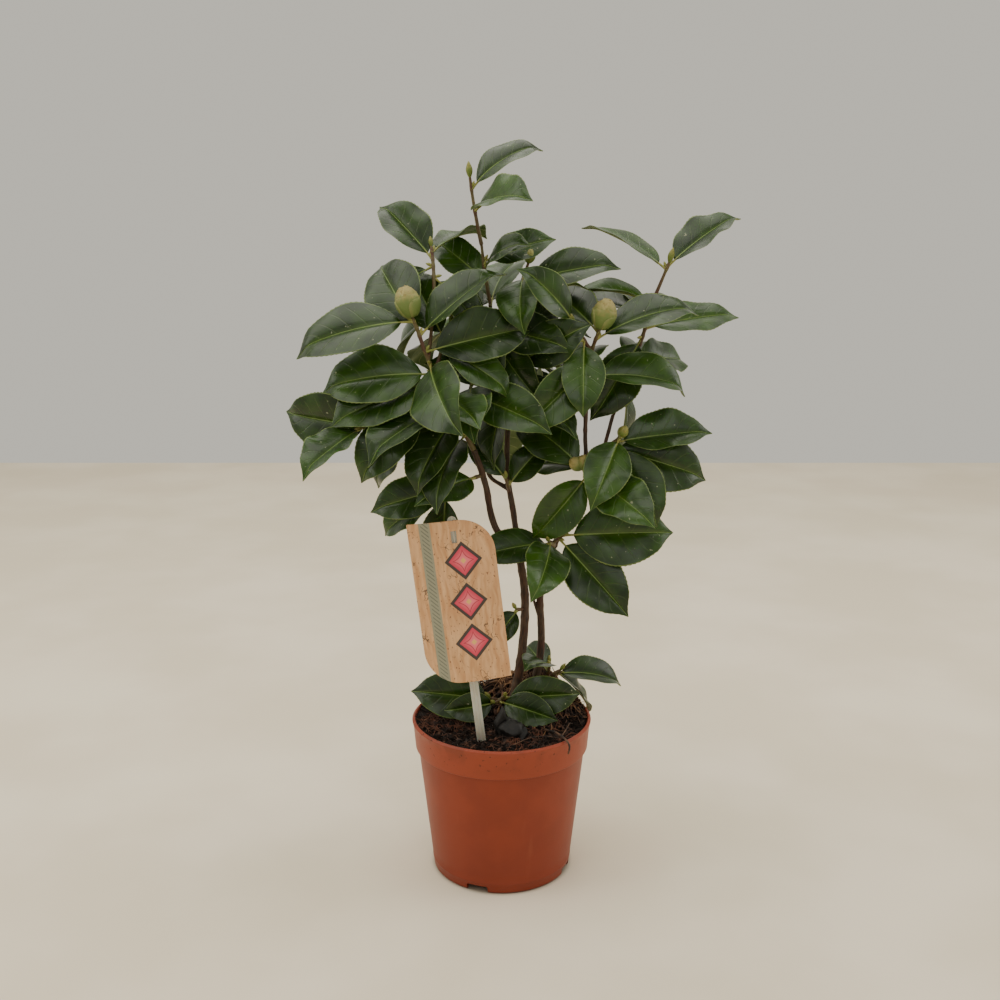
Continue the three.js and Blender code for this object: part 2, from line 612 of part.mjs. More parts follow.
// The way that a leaf points, from its turn clockwise from straight up and its
// lean to the front.
function heading([clock, near]) {
  const level = Math.cos(degrees(near));
  const turn = degrees(clock);
  return new THREE.Vector3(level * Math.sin(turn), -Math.sin(degrees(near)), level * Math.cos(turn));
}

// One try at a leaf: its root, the way it points, its upper side and its sizes.
function drawLeaf(shoot, bends, place, onward, tried, random) {
  const share = shoot.bare + ((1 - shoot.bare) * (place + between(PLACE_RANGE, random()))) / shoot.leaves;
  const straying = 1 + STRAY_GROWTH * tried;
  const around = degrees(between(STRAY_RANGE, random()) * straying);
  const off = degrees(between(STRAY_RANGE, random()) * straying);
  const length = shoot.leaf * between(LENGTH_RANGE, random()) * (1 - SHRINK * tried);
  const bend = degrees(between(BEND_RANGE, random()));
  const roll = degrees(between(ROLL_RANGE, random()));
  const fold = degrees(between(FOLD_RANGE, random()));
  const width = length * LEAF_WIDTH_SHARE * between(WIDTH_RANGE, random());

  const root = curvePoint(bends, share);
  const along = curveDirection(bends, share);
  const way = onward.clone().applyAxisAngle(along.clone().cross(onward).normalize(), off);
  way.applyAxisAngle(along, around);

  const away = new THREE.Vector3(root.x - CROWN_AXIS[0], root.y - CROWN_AXIS[1], 0).normalize();
  let face = vector(LIGHT).addScaledVector(along, ALONG_SHOOT).addScaledVector(away, AWAY_FROM_CROWN);
  face.addScaledVector(way, -face.dot(way));
  if (face.length() < SHORTEST_FACE) face = shift(along, way, -along.dot(way));
  face.normalize();
  const level = way.clone().cross(face);
  const upper = face.multiplyScalar(Math.cos(roll)).addScaledVector(level, Math.sin(roll));
  return { root, way, upper, across: way.clone().cross(upper), length, width, bend, fold };
}

// The ways that the leaves of a shoot point: the given ones, and then a spiral.
function leafWays(shoot, bends) {
  const ways = shoot.ways.map(heading);
  while (ways.length < shoot.leaves) {
    const along = curveDirection(bends, ways.length / shoot.leaves);
    ways.push(ways.at(-1).clone().applyAxisAngle(along, degrees(GOLDEN_ANGLE)));
  }
  return ways;
}

// Middle line and upper side of a leaf at a share of its length. The stalk is
// straight and the blade curves back along an arc.
function leafStation(leaf, share) {
  const arc = leaf.bend * Math.max(0, share - STALK_SHARE);
  const reach = Math.min(share, STALK_SHARE) + Math.sin(arc) / leaf.bend;
  const drop = (1 - Math.cos(arc)) / leaf.bend;
  const point = shift(leaf.root, leaf.way, leaf.length * reach);
  point.addScaledVector(leaf.upper, -leaf.length * drop);
  const upper = leaf.upper.clone().multiplyScalar(Math.cos(arc)).addScaledVector(leaf.way, Math.sin(arc));
  return { point, upper };
}

function leafHalfWidth(leaf, share) {
  const t = Math.min(1, Math.max(0, (share - STALK_SHARE) / (1 - STALK_SHARE)));
  const oval = Math.sin(Math.PI * t ** LEAF_BROADEST) ** LEAF_FULLNESS;
  return Math.max(0.5 * leaf.width * oval * (1 - LEAF_TAPER * t), STALK_RADIUS);
}

// A leaf as a closed body folded along its midrib. With spare room it is the
// space that its blade needs.
function makeLeaf(leaf, spare = 0) {
  const shares = spare > 0 ? [BLADE_START, ...LEAF_STATIONS.slice(1)] : [0, ...LEAF_STATIONS];
  const rings = shares.map((share) => {
    const { point, upper } = leafStation(leaf, share);
    const half = leafHalfWidth(leaf, share) + spare;
    const thick = share < LEAF_STATIONS[1] ? STALK_RADIUS : LEAF_THICKNESS / 2;
    const edge = half * Math.cos(leaf.fold);
    const lift = half > STALK_RADIUS + spare ? half * Math.sin(leaf.fold) : 0;
    return [
      shift(point, upper, thick + spare),
      shift(shift(point, leaf.across, edge), upper, lift),
      shift(point, upper, -thick - spare),
      shift(shift(point, leaf.across, -edge), upper, lift),
    ];
  });
  const tip = leafStation(leaf, 1).point;
  return toSolid(skin([...rings, [tip]]));
}

function makeBud(bends, kind) {
  const { length, radius } = BUDS[kind];
  const axis = curveDirection(bends, 1).add(new THREE.Vector3(0, 0, BUD_LIFT)).normalize();
  const foot = bends[2];
  const points = BUD_PROFILE.map(([share]) => shift(foot, axis, length * share - BUD_SINK));
  const radii = BUD_PROFILE.map(([, share]) => radius * share);
  return toSolid(skin([...tube(points, radii, BUD_SIDES), [shift(foot, axis, length - BUD_SINK)]]));
}

function makeLabelRoom() {
  return toSolid(new THREE.BoxGeometry(...LABEL_ROOM).translate(...LABEL_ROOM_MIDDLE));
}

// Whether a body runs into any other.
function boxesMeet(one, other) {
  return [0, 1, 2].every((k) => one.min[k] < other.max[k] && other.min[k] < one.max[k]);
}

function clashes(body, others) {
  const box = body.boundingBox();
  return others.some((other) => boxesMeet(box, other.boundingBox()) && !body.intersect(other).isEmpty());
}

// Build

const materials = {
  pot: new THREE.MeshStandardMaterial({ color: '#9a4a2d', roughness: 0.5, metalness: 0 }),
  compost: new THREE.MeshStandardMaterial({ color: '#2a1a12', roughness: 0.95, metalness: 0 }),
  card: new THREE.MeshStandardMaterial({ color: '#c69a6c', roughness: 0.6, metalness: 0 }),
  stick: new THREE.MeshStandardMaterial({ color: '#dedbd4', roughness: 0.35, metalness: 0 }),
  bark: new THREE.MeshStandardMaterial({ color: '#5b3a28', roughness: 0.8, metalness: 0 }),
  foliage: new THREE.MeshStandardMaterial({ color: '#24401f', roughness: 0.35, metalness: 0 }),
};

const plant = new THREE.Group();

function addPiece(name, solid, material) {
  const mesh = new THREE.Mesh(toGeometry(solid), material.clone());
  mesh.name = name;
  plant.add(mesh);
}

const pot = makePot();
const card = makeCard();
const stick = makeStick();

// Limbs, each cut clear of the ones before it that it springs from.
const limbs = [];
const limbRooms = [];
for (const limb of LIMBS) {
  let body = makeLimb(limb);
  for (const room of limbRooms) {
    if (boxesMeet(body.boundingBox(), room.boundingBox())) body = body.subtract(room);
  }
  limbs.push({ name: limb.name, body });
  limbRooms.push(makeLimb(limb, GAP));
}

// Twigs and buds of every mass come first, so that leaves can keep off them.
const bendsOf = new Map();
const masses = [];
for (const [name, shoots] of Object.entries(MASSES)) {
  const wood = [];
  for (const shoot of shoots) {
    const bends = shootBends(shoot, bendsOf);
    bendsOf.set(shoot.name, bends);
    wood.push(makeTwig(bends));
    if (shoot.bud) wood.push(makeBud(bends, shoot.bud));
  }
  masses.push({ name, shoots, wood, leaves: [] });
}

// Compost, with a seat for each stem, base shoot and the label's stick.
let compost = makeCompost().subtract(makeStick(GAP));
for (const room of limbRooms.slice(0, 2)) compost = compost.subtract(room);
for (const mass of masses) {
  for (const shoot of mass.shoots) {
    if (!Array.isArray(shoot.from)) continue;
    const [foot, via] = bendsOf.get(shoot.name);
    const down = foot.clone().sub(via).normalize();
    const room = TWIG_RADII[0] + GAP;
    const seat = tube([shift(foot, down, GAP), via], [room, room], TWIG_SIDES);
    compost = compost.subtract(toSolid(skin(seat)));
  }
}

// Leaves in turn, each in the first place it tries that is clear of all others.
const obstacles = [pot, compost, card, stick, makeLabelRoom(), ...limbs.map((limb) => limb.body)];
for (const mass of masses) obstacles.push(...mass.wood);
let shootNumber = 0;
for (const mass of masses) {
  for (const shoot of mass.shoots) {
    const bends = bendsOf.get(shoot.name);
    shootNumber += 1;
    leafWays(shoot, bends).forEach((onward, place) => {
      const random = seeded(SEEDS_PER_SHOOT * shootNumber + place);
      for (let tried = 0; tried < TRIES; tried += 1) {
        const leaf = drawLeaf(shoot, bends, place, onward, tried, random);
        if (clashes(makeLeaf(leaf, LEAF_CLEARANCE), obstacles)) continue;
        const body = makeLeaf(leaf);
        obstacles.push(body);
        mass.leaves.push(body);
        break;
      }
    });
  }
}

addPiece('pot', pot, materials.pot);
addPiece('compost', compost, materials.compost);
addPiece('label_card', card, materials.card);
addPiece('label_stick', stick, materials.stick);
for (const limb of limbs) addPiece(limb.name, limb.body, materials.bark);

// A mass is joined up and cut clear of the limbs, and a scrap that comes loose
// where it is cut is dropped.
for (const mass of masses) {
  let body = wasm.Manifold.union([...mass.wood, ...mass.leaves]);
  for (const room of limbRooms) {
    if (boxesMeet(body.boundingBox(), room.boundingBox())) body = body.subtract(room);
  }
  const [largest] = body.decompose().sort((one, other) => other.volume() - one.volume());
  addPiece(mass.name, largest, materials.foliage);
}

export default plant;
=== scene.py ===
# %% [markdown]
# A camellia in its nursery pot, dressed for the camera. The solid model gives every
# size and place. This notebook starts by loading that model as a fixed frame, and
# then lays one finer piece after another over the solids that each stands for.

# %% Load the solid model
import math
import random
from collections import namedtuple

import bmesh
import bpy
import numpy as np
from mathutils import Matrix, Vector, kdtree, noise


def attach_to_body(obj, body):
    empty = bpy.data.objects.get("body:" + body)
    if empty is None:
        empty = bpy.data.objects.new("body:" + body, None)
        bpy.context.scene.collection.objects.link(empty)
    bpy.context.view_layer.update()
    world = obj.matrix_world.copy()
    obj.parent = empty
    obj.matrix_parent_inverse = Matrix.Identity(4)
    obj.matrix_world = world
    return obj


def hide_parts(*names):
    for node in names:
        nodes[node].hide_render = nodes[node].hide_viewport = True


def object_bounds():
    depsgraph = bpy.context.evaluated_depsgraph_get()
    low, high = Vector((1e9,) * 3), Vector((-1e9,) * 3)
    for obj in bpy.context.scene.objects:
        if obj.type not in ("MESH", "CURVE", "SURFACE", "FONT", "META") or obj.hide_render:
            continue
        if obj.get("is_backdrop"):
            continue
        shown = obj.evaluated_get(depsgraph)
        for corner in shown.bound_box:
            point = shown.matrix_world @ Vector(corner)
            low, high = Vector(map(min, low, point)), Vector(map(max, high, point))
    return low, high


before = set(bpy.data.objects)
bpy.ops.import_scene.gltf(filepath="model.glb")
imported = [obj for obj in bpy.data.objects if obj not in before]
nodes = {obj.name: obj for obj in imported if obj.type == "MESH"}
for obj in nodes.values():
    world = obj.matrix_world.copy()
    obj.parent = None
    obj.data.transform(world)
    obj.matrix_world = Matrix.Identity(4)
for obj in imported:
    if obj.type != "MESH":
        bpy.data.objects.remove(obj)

solid_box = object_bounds()
print("solid nodes:", len(nodes), "height in metres:", round(solid_box[1].z, 3))

# %% [markdown]
# The solids were drawn in millimetres and Blender works in metres. The plant's rule
# is easier to read in millimetres, so the shapes below are worked out in those, and
# one function turns a list of points into a finished mesh object in metres. The
# object stays at the origin, with its place in its mesh, so that patterns that read
# object coordinates can't slide.

# %% From points to a piece
MM = 0.001


def shade(mesh, smooth=True):
    """Shades every face of a mesh smooth, or every one flat."""
    mesh.polygons.foreach_set("use_smooth", np.full(len(mesh.polygons), smooth))


def make_piece(name, points, faces, materials, choice=None, uv=None, smooth=True):
    """A mesh object from points in millimetres. choice gives each face's material."""
    mesh = bpy.data.meshes.new(name)
    mesh.from_pydata((np.asarray(points, float) * MM).tolist(), [], faces)
    for material in materials:
        mesh.materials.append(material)
    if choice is not None:
        mesh.polygons.foreach_set("material_index", np.asarray(choice, np.int32))
    if uv is not None:
        layer = mesh.uv_layers.new(name="UVMap")
        corners = np.zeros(len(mesh.loops), np.int32)
        mesh.loops.foreach_get("vertex_index", corners)
        layer.data.foreach_set("uv", np.asarray(uv, np.float32)[corners].ravel())
    shade(mesh, smooth)
    mesh.validate()
    mesh.update()
    piece = bpy.data.objects.new(name, mesh)
    bpy.context.scene.collection.objects.link(piece)
    return piece


def seat(piece, slot, *replaced):
    """Fixes a finished piece to the part, in place of the solids that it stands for."""
    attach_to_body(piece, "root")
    if replaced:
        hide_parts(*replaced)
    print(piece.name, "triangles:", sum(len(p.vertices) - 2 for p in piece.data.polygons))
    return piece


def baked(piece, name):
    """Turns a piece with live modifiers into a plain mesh object."""
    depsgraph = bpy.context.evaluated_depsgraph_get()
    mesh = bpy.data.meshes.new_from_object(piece.evaluated_get(depsgraph))
    bpy.data.objects.remove(piece)
    mesh.name = name
    result = bpy.data.objects.new(name, mesh)
    bpy.context.scene.collection.objects.link(result)
    return result


# %% [markdown]
# Materials and Geometry Nodes are both graphs. Reading one is easiest when its sums
# look like sums, so a small class wraps a socket: adding two wrapped sockets adds a
# Math node behind the scenes. Every other node comes from one method, which takes the
# node's type, its settings and what goes into its sockets.

# %% A socket that can be added up, and a graph that holds it


class Wire:
    """An output socket that understands arithmetic."""

    def __init__(self, graph, socket):
        self.graph = graph
        self.socket = socket

    def math(self, operation, *others, clamp=False):
        settings = {"operation": operation, "use_clamp": clamp}
        return self.graph.add("ShaderNodeMath", settings, dict(enumerate([self, *others])))

    def __add__(self, other):
        return self.math("ADD", other)

    def __sub__(self, other):
        return self.math("SUBTRACT", other)

    def __mul__(self, other):
        return self.math("MULTIPLY", other)

    def __truediv__(self, other):
        return self.math("DIVIDE", other)

    def __pow__(self, other):
        return self.math("POWER", other)

    def __neg__(self):
        return self * -1.0

    def __rsub__(self, other):
        return -self + other

    __radd__ = __add__
    __rmul__ = __mul__

    def sin(self):
        return self.math("SINE")

    def cos(self):
        return self.math("COSINE")

    def abs(self):
        return self.math("ABSOLUTE")

    def over(self, edge):
        return self.math("GREATER_THAN", edge)

    def rise(self, low, high):
        """Goes smoothly from 0 at low to 1 at high."""
        settings = {"interpolation_type": "SMOOTHSTEP"}
        sockets = {"Value": self, "From Min": low, "From Max": high}
        return self.graph.add("ShaderNodeMapRange", settings, sockets)


class Graph:
    """A node tree under construction."""

    def __init__(self, tree):
        self.tree = tree
        tree.nodes.clear()

    def node(self, kind, settings=None, sockets=None):
        """Adds a node, sets it up, and links or fills its sockets."""
        node = self.tree.nodes.new(kind)
        for name, value in (settings or {}).items():
            setattr(node, name, value)
        for name, value in (sockets or {}).items():
            if isinstance(value, Wire):
                self.tree.links.new(value.socket, node.inputs[name])
            else:
                node.inputs[name].default_value = value
        return node

    def add(self, kind, settings=None, sockets=None, out=0):
        """Adds a node and gives back one of its outputs."""
        return Wire(self, self.node(kind, settings, sockets).outputs[out])

    def mix(self, factor, first, second):
        """Mixes two colours."""
        sockets = {"Factor": factor, 6: first, 7: second}
        return self.add("ShaderNodeMix", {"data_type": "RGBA"}, sockets, out=2)


# %% [markdown]
# Every finish here is a Principled surface. What is the same all over goes straight
# on the shader's sockets, and what changes over the surface comes from a graph. The
# paint function below makes a material, hands its graph to a recipe, and plugs in
# the colour, roughness and bump that the recipe gives back.

# %% A painter for materials


def srgb(red, green, blue):
    """A colour as a screen shows it, 0 to 255, turned into the light it stands for."""
    def light(value):
        share = value / 255
        return share / 12.92 if share <= 0.04045 else ((share + 0.055) / 1.055) ** 2.4
    return (light(red), light(green), light(blue), 1.0)


def paint(name, recipe, bump=0.0, **uniform):
    """A Principled material. The recipe gives back what changes over the surface."""
    material = bpy.data.materials.new(name)
    material.use_nodes = True
    graph = Graph(material.node_tree)
    varied = recipe(graph)
    height = varied.pop("Height", None)
    sockets = {**{key.replace("_", " "): value for key, value in uniform.items()}, **varied}
    if height is not None:
        reach = {"Strength": 1.0, "Distance": bump, "Height": height}
        sockets["Normal"] = graph.add("ShaderNodeBump", None, reach)
    surface = graph.add("ShaderNodeBsdfPrincipled", None, sockets)
    graph.node("ShaderNodeOutputMaterial", None, {"Surface": surface})
    return material


def place(graph):
    """The piece's own coordinates, in metres."""
    return graph.add("ShaderNodeTexCoord", out="Object")


def on_uv(graph):
    """The two coordinates of the piece's own UV map."""
    split = graph.node("ShaderNodeSeparateXYZ", None, {
        "Vector": graph.add("ShaderNodeUVMap", {"uv_map": "UVMap"}),
    })
    return Wire(graph, split.outputs["X"]), Wire(graph, split.outputs["Y"])


def grain(graph, where, size, detail=2.0, stretch=(1, 1, 1)):
    """Noise whose lumps are about size metres across, stretched along an axis."""
    scale = tuple(1 / (size * factor) for factor in stretch)
    where = graph.add("ShaderNodeMapping", None, {"Vector": where, "Scale": scale})
    sockets = {"Vector": where, "Scale": 1.0, "Detail": detail, "Roughness": 0.5}
    return graph.add("ShaderNodeTexNoise", None, sockets)


# %% [markdown]
# The camera stands where the photographer stood: a little over a metre in front of
# the pot and above the label, looking slightly down. The focal length was worked out
# from how the round rim flattens into an ellipse. The floor is plain and pale, with a
# painted shadow that darkens it under the pot, and the light is soft and nearly even,
# like that of an overcast sky.

# %% Camera, floor and light
FOCAL_SHARE = 1.2
CAMERA_PLACE = (-1.5, -1070, 607)
CAMERA_DIP = 12.96

camera_data = bpy.data.cameras.new("camera")
camera_data.sensor_width = 36
camera_data.lens = FOCAL_SHARE * camera_data.sensor_width
camera = bpy.data.objects.new("camera", camera_data)
camera.location = Vector(CAMERA_PLACE) * MM
camera.rotation_euler = (math.radians(90 - CAMERA_DIP), 0, 0)
bpy.context.scene.collection.objects.link(camera)
bpy.context.scene.camera = camera

FLOOR_SIZE = 4.0
Lamp = namedtuple("Lamp", "place size watts tint")
LAMPS = {
    "sky": Lamp((-0.2, 0.3, 2.4), 2.6, 46, (1.0, 0.975, 0.88)),
    "left": Lamp((-1.9, -0.3, 1.5), 1.5, 15, (1.0, 0.97, 0.90)),
    "right": Lamp((2.0, 0.2, 1.2), 1.3, 14, (1.0, 0.97, 0.92)),
    "front": Lamp((0.4, -2.4, 1.9), 1.6, 12, (1.0, 0.98, 0.95)),
}
LAMP_TARGET = (0, 0, 0.38)
AMBIENT = (1.0, 0.955, 0.83, 1.0)
AMBIENT_STRENGTH = 0.64


def floor_recipe(graph):
    here = place(graph)
    blotch = grain(graph, here, 0.25, 3.0)
    colour = graph.mix(blotch.rise(0.35, 0.7), srgb(221, 208, 184), srgb(231, 219, 197))
    # painted shadow: the floor is darkened in a disc under the pot
    from_pot = graph.add("ShaderNodeVectorMath", {"operation": "LENGTH"}, {0: here}, out="Value")
    colour = graph.mix(from_pot.rise(0.070, 0.062) * 0.7, colour, srgb(96, 84, 70))
    return {"Base Color": colour}


half = FLOOR_SIZE / 2 / MM
floor = make_piece(
    "floor",
    [(-half, -half, 0), (half, -half, 0), (half, half, 0), (-half, half, 0)],
    [(0, 1, 2, 3)],
    [paint("pale_floor", floor_recipe, Roughness=0.85)],
)
floor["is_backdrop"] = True

for name, lamp in LAMPS.items():
    light = bpy.data.lights.new(name, "AREA")
    light.size = lamp.size
    light.energy = lamp.watts
    light.color = lamp.tint
    holder = bpy.data.objects.new(name, light)
    holder.location = lamp.place
    aim = Vector(LAMP_TARGET) - Vector(lamp.place)
    holder.rotation_euler = aim.to_track_quat("-Z", "Y").to_euler()
    bpy.context.scene.collection.objects.link(holder)

world = bpy.data.worlds.new("soft_room")
world.use_nodes = True
world.node_tree.nodes["Background"].inputs["Color"].default_value = AMBIENT
world.node_tree.nodes["Background"].inputs["Strength"].default_value = AMBIENT_STRENGTH
bpy.context.scene.world = world
print("camera at", tuple(round(v, 3) for v in camera.location), "lamps:", len(LAMPS))

# %% [markdown]
# The pot is a thin plastic nursery pot: a tapered wall, a rim band that steps out so
# that pots can be stacked, a rounded foot, and drainage notches that let it drain on
# a flat floor. Its section is one outline turned about the middle, so a lathe is the
# natural tool. The floor is drawn up a little, so that the pot stands on a narrow
# ring and water can leave below it. The notches in that ring are cut afterwards.

# %% The pot's section
POT_HEIGHT = 151
POT_RIM_RADIUS = 85
POT_FOOT_RADIUS = 65.5
POT_WALL = 1.6
INNER_CORNER = 5
POT_FOOT_ROUNDING = 3
BAND_HEIGHT = 28.5
BAND_RADIUS = 82
WALL_RADIUS_UNDER_BAND = 79
BAND_FOOT = POT_HEIGHT - BAND_HEIGHT
POT_TURNS = 180


def wall_radius(height):
    share = height / BAND_FOOT
    return POT_FOOT_RADIUS + (WALL_RADIUS_UNDER_BAND - POT_FOOT_RADIUS) * share


def arc(centre, radius, start, end, steps):
    """Points on an arc, from one angle to another in degrees."""
    angles = np.radians(np.linspace(start, end, steps))
    return [(centre[0] + radius * math.cos(a), centre[1] + radius * math.sin(a)) for a in angles]


def straight(start, end, steps):
    return [tuple(p) for p in np.linspace(start, end, steps + 2)[1:-1]]


LIP = 1.1
RECESS = 5.5
INNER_FLOOR = 7.6
UNDERSIDE = [(0, RECESS), (30, RECESS), (57, RECESS), (60.6, RECESS - 1), (61.4, 0.3), (61.8, 0)]
MOULDED_RING = [(9.4, 0.0), (9.9, 0.28), (10.8, 0.28), (11.3, 0.0)]
foot_centre = (wall_radius(POT_FOOT_ROUNDING) - POT_FOOT_ROUNDING, POT_FOOT_ROUNDING)
outside = UNDERSIDE + arc(foot_centre, POT_FOOT_ROUNDING, -90, -7, 9)
outside += [(wall_radius(z) + stand_out, z) for z, stand_out in MOULDED_RING]
outside += straight(outside[-1], (WALL_RADIUS_UNDER_BAND, BAND_FOOT - 3), 12)
outside += arc((WALL_RADIUS_UNDER_BAND + 1.2, BAND_FOOT - 1.7), 1.4, 180, 90, 5)
outside += arc((BAND_RADIUS - 1.2, BAND_FOOT + 0.9), 1.2, -70, 0, 5)
outside += straight(outside[-1], (POT_RIM_RADIUS - 0.9, POT_HEIGHT - 4.2), 4)
outside += arc((POT_RIM_RADIUS - LIP, POT_HEIGHT - LIP - 1.2), LIP, -40, 90, 8)
inside = arc((POT_RIM_RADIUS - LIP - 0.9, POT_HEIGHT - 1.3), 1.1, 90, 180, 5)
inside += straight(inside[-1], (BAND_RADIUS - POT_WALL, BAND_FOOT + 1), 4)
inside += [(BAND_RADIUS - POT_WALL, BAND_FOOT + 1), (WALL_RADIUS_UNDER_BAND - POT_WALL, BAND_FOOT - 2)]
corner_height = INNER_FLOOR + INNER_CORNER
inside += straight(inside[-1], (wall_radius(corner_height) - POT_WALL, corner_height), 6)
corner_centre = (wall_radius(corner_height) - POT_WALL - INNER_CORNER, corner_height)
inside += arc(corner_centre, INNER_CORNER, 0, -90, 6)
inside += [(30, INNER_FLOOR), (0, INNER_FLOOR)]
print("pot section points:", len(outside) + len(inside))

# %% [markdown]
# The lathe turns that outline through a full circle. Points on the axis are shared,
# so the mesh is closed at both poles. Four notches are cut right through the foot, a
# quarter turn apart, the first a little to the left of the front.

# %% Turn the pot and cut its notches
NOTCH_COUNT = 4
NOTCH_WIDTH = 21
NOTCH_HEIGHT = 7
NOTCH_ROUNDING = 2.0
NOTCH_DEPTH = 14
NOTCH_OVERCUT = 4
NOTCH_FIRST_ANGLE = -110.6


def turned(outline, turns):
    """Points and faces of an outline turned about the vertical axis, closed at its poles."""
    points = []
    rings = []
    for radius, height in outline:
        if radius == 0:
            rings.append([len(points)] * turns)
            points.append((0, 0, height))
            continue
        rings.append(list(range(len(points), len(points) + turns)))
        for turn in range(turns):
            angle = 2 * math.pi * turn / turns
            points.append((radius * math.cos(angle), radius * math.sin(angle), height))
    faces = []
    for low, high in zip(rings, rings[1:]):
        for i in range(turns):
            j = (i + 1) % turns
            corners = [low[i], low[j], high[j], high[i]]
            faces.append(tuple(dict.fromkeys(corners)))
    return points, faces


def notch_cutter(angle):
    """The space of one notch, a flat-topped tunnel with rounded shoulders."""
    side = NOTCH_WIDTH / 2 - NOTCH_ROUNDING
    shoulder = NOTCH_HEIGHT - NOTCH_ROUNDING
    outline = [(-NOTCH_WIDTH / 2, -1), (NOTCH_WIDTH / 2, -1)]
    outline += arc((side, shoulder), NOTCH_ROUNDING, 0, 90, 6)
    outline += arc((-side, shoulder), NOTCH_ROUNDING, 90, 180, 6)
    outer = wall_radius(0) + NOTCH_OVERCUT
    turn = Matrix.Rotation(math.radians(angle - 90), 4, "Z")
    points = [turn @ Vector((x, y, z)) for y in (outer - NOTCH_DEPTH, outer) for x, z in outline]
    count = len(outline)
    faces = [tuple(range(count)), tuple(range(2 * count - 1, count - 1, -1))]
    for i in range(count):
        j = (i + 1) % count
        faces.append((i, i + count, j + count, j))
    return make_piece("notch_cutter", points, faces, [], smooth=False)


def cut(piece, cutters, name):
    """Cuts the cutters out of a piece and removes them."""
    for cutter in cutters:
        modifier = piece.modifiers.new("cut", "BOOLEAN")
        modifier.object = cutter
        modifier.solver = "EXACT"
    result = baked(piece, name)
    for cutter in cutters:
        bpy.data.objects.remove(cutter)
    return result


# %% [markdown]
# Nursery pots are moulded in a satin red-brown plastic. Close to, the skin is not one
# colour: it has faint marks from handling, and potting leaves dark specks of compost
# near the rim. Painted shade also darkens it low down, and painted light makes the rim
# band lighter than the wall. Each of these is a mask that mixes two colours or nudges
# the roughness.

# %% The pot's plastic


def pot_recipe(graph):
    here = place(graph)
    height = graph.add("ShaderNodeSeparateXYZ", None, {"Vector": here}, out="Z")
    cloud = grain(graph, here, 0.035, 3.0)
    streak = grain(graph, here, 0.012, 3.0, stretch=(1, 1, 9))
    colour = graph.mix(cloud.rise(0.3, 0.7), srgb(125, 46, 22), srgb(134, 51, 26))
    # painted shade: the plastic is darkened towards the bottom of the pot and under it
    colour = graph.mix(height.rise(0.10, 0.0) * 0.4, colour, srgb(110, 37, 17))
    # painted light: the rim band above the step is painted lighter than the wall below it
    colour = graph.mix(height.rise(0.1215, 0.1235) * 0.55, colour, srgb(149, 64, 38))
    colour = graph.mix(streak.rise(0.62, 0.8) * 0.10, colour, srgb(176, 104, 74))
    speck = grain(graph, here, 0.0032, 1.0).rise(0.69, 0.73)
    smudge = grain(graph, here, 0.02, 3.0).rise(0.5, 0.66)
    near_rim = height.rise(0.118, 0.150)
    soil = (speck + smudge * 0.25) * near_rim
    colour = graph.mix(soil.math("MINIMUM", 0.85), colour, srgb(64, 36, 24))
    roughness = 0.40 + streak * 0.10 + soil * 0.25
    relief = grain(graph, here, 0.0011, 2.0) * 0.5 + cloud
    return {"Base Color": colour, "Roughness": roughness, "Height": relief}


pot_plastic = paint("pot_plastic", pot_recipe, bump=0.00012, Specular_IOR_Level=0.36)
pot_points, pot_faces = turned(outside + inside, POT_TURNS)
pot = make_piece("nursery_pot_blank", pot_points, pot_faces, [pot_plastic])
cutters = [notch_cutter(NOTCH_FIRST_ANGLE + 360 / NOTCH_COUNT * i) for i in range(NOTCH_COUNT)]
pot = cut(pot, cutters, "nursery_pot")
pot.data.set_sharp_from_angle(angle=math.radians(40))
seat(pot, "pot_plastic", "pot")

# %% [markdown]
# The compost fills the pot to half a centimetre below the rim and rises in a mound
# round the stems, where the root ball was set a little high. Its body is one closed
# mesh whose top is roughened by layers of noise. The loose stuff that makes compost
# look like compost comes next, laid on this surface.

# %% The body of the compost
SOIL_LEVEL = 146.5
SOIL_HILLS = [(34, 34, 26.5, 24), (4, -44, 4, 11)]
SOIL_EDGE = BAND_RADIUS + (POT_RIM_RADIUS - BAND_RADIUS) * (SOIL_LEVEL - BAND_FOOT) / BAND_HEIGHT - 2.5
SOIL_EDGE_POWER = 6
SOIL_TURNS = 160
SOIL_RINGS = 56
SOIL_GAP = 0.3
Clump = namedtuple("Clump", "size height shift")
CLUMPS = [Clump(11, 3.2, 0), Clump(4.5, 2.2, 40), Clump(1.8, 1.0, -40)]
WALL_BANK = (1.8, 16, 3)
Rise = namedtuple("Rise", "x y height")
STEM_RISE = Rise(48, 36, 9)
BACK_RISE = Rise(-8, 46, 15)
STEM_RISE_SPREAD = 300
BACK_RISE_SPREADS = (1300, 560)


def smooth_step(low, high, value):
    share = min(1.0, max(0.0, (value - low) / (high - low)))
    return share * share * (3 - 2 * share)


def soil_height(x, y):
    hills = 0
    for hill_x, hill_y, height, spread in SOIL_HILLS:
        hills += height * math.exp(-((x - hill_x) ** 2 + (y - hill_y) ** 2) / (2 * spread ** 2))
    return SOIL_LEVEL + hills * (1 - min(1, math.hypot(x, y) / SOIL_EDGE) ** SOIL_EDGE_POWER)


def crumbly(x, y):
    """Height of the clumps, and of the banks of loose soil, at a point of the top."""
    clumps = 0
    for clump in CLUMPS:
        clumps += noise.noise(Vector((x, y, clump.shift)) / clump.size) * clump.height
    height, reach, wall = WALL_BANK
    by_wall = height * smooth_step(SOIL_EDGE - reach, SOIL_EDGE - wall, math.hypot(x, y))
    across, deep = x - STEM_RISE.x, y - STEM_RISE.y
    by_stems = STEM_RISE.height * math.exp(-(across ** 2 + deep ** 2) / STEM_RISE_SPREAD)
    across, deep = x - BACK_RISE.x, y - BACK_RISE.y
    wide, far = BACK_RISE_SPREADS
    behind = BACK_RISE.height * math.exp(-(across ** 2 / wide + deep ** 2 / far))
    return clumps + by_wall + by_stems + behind


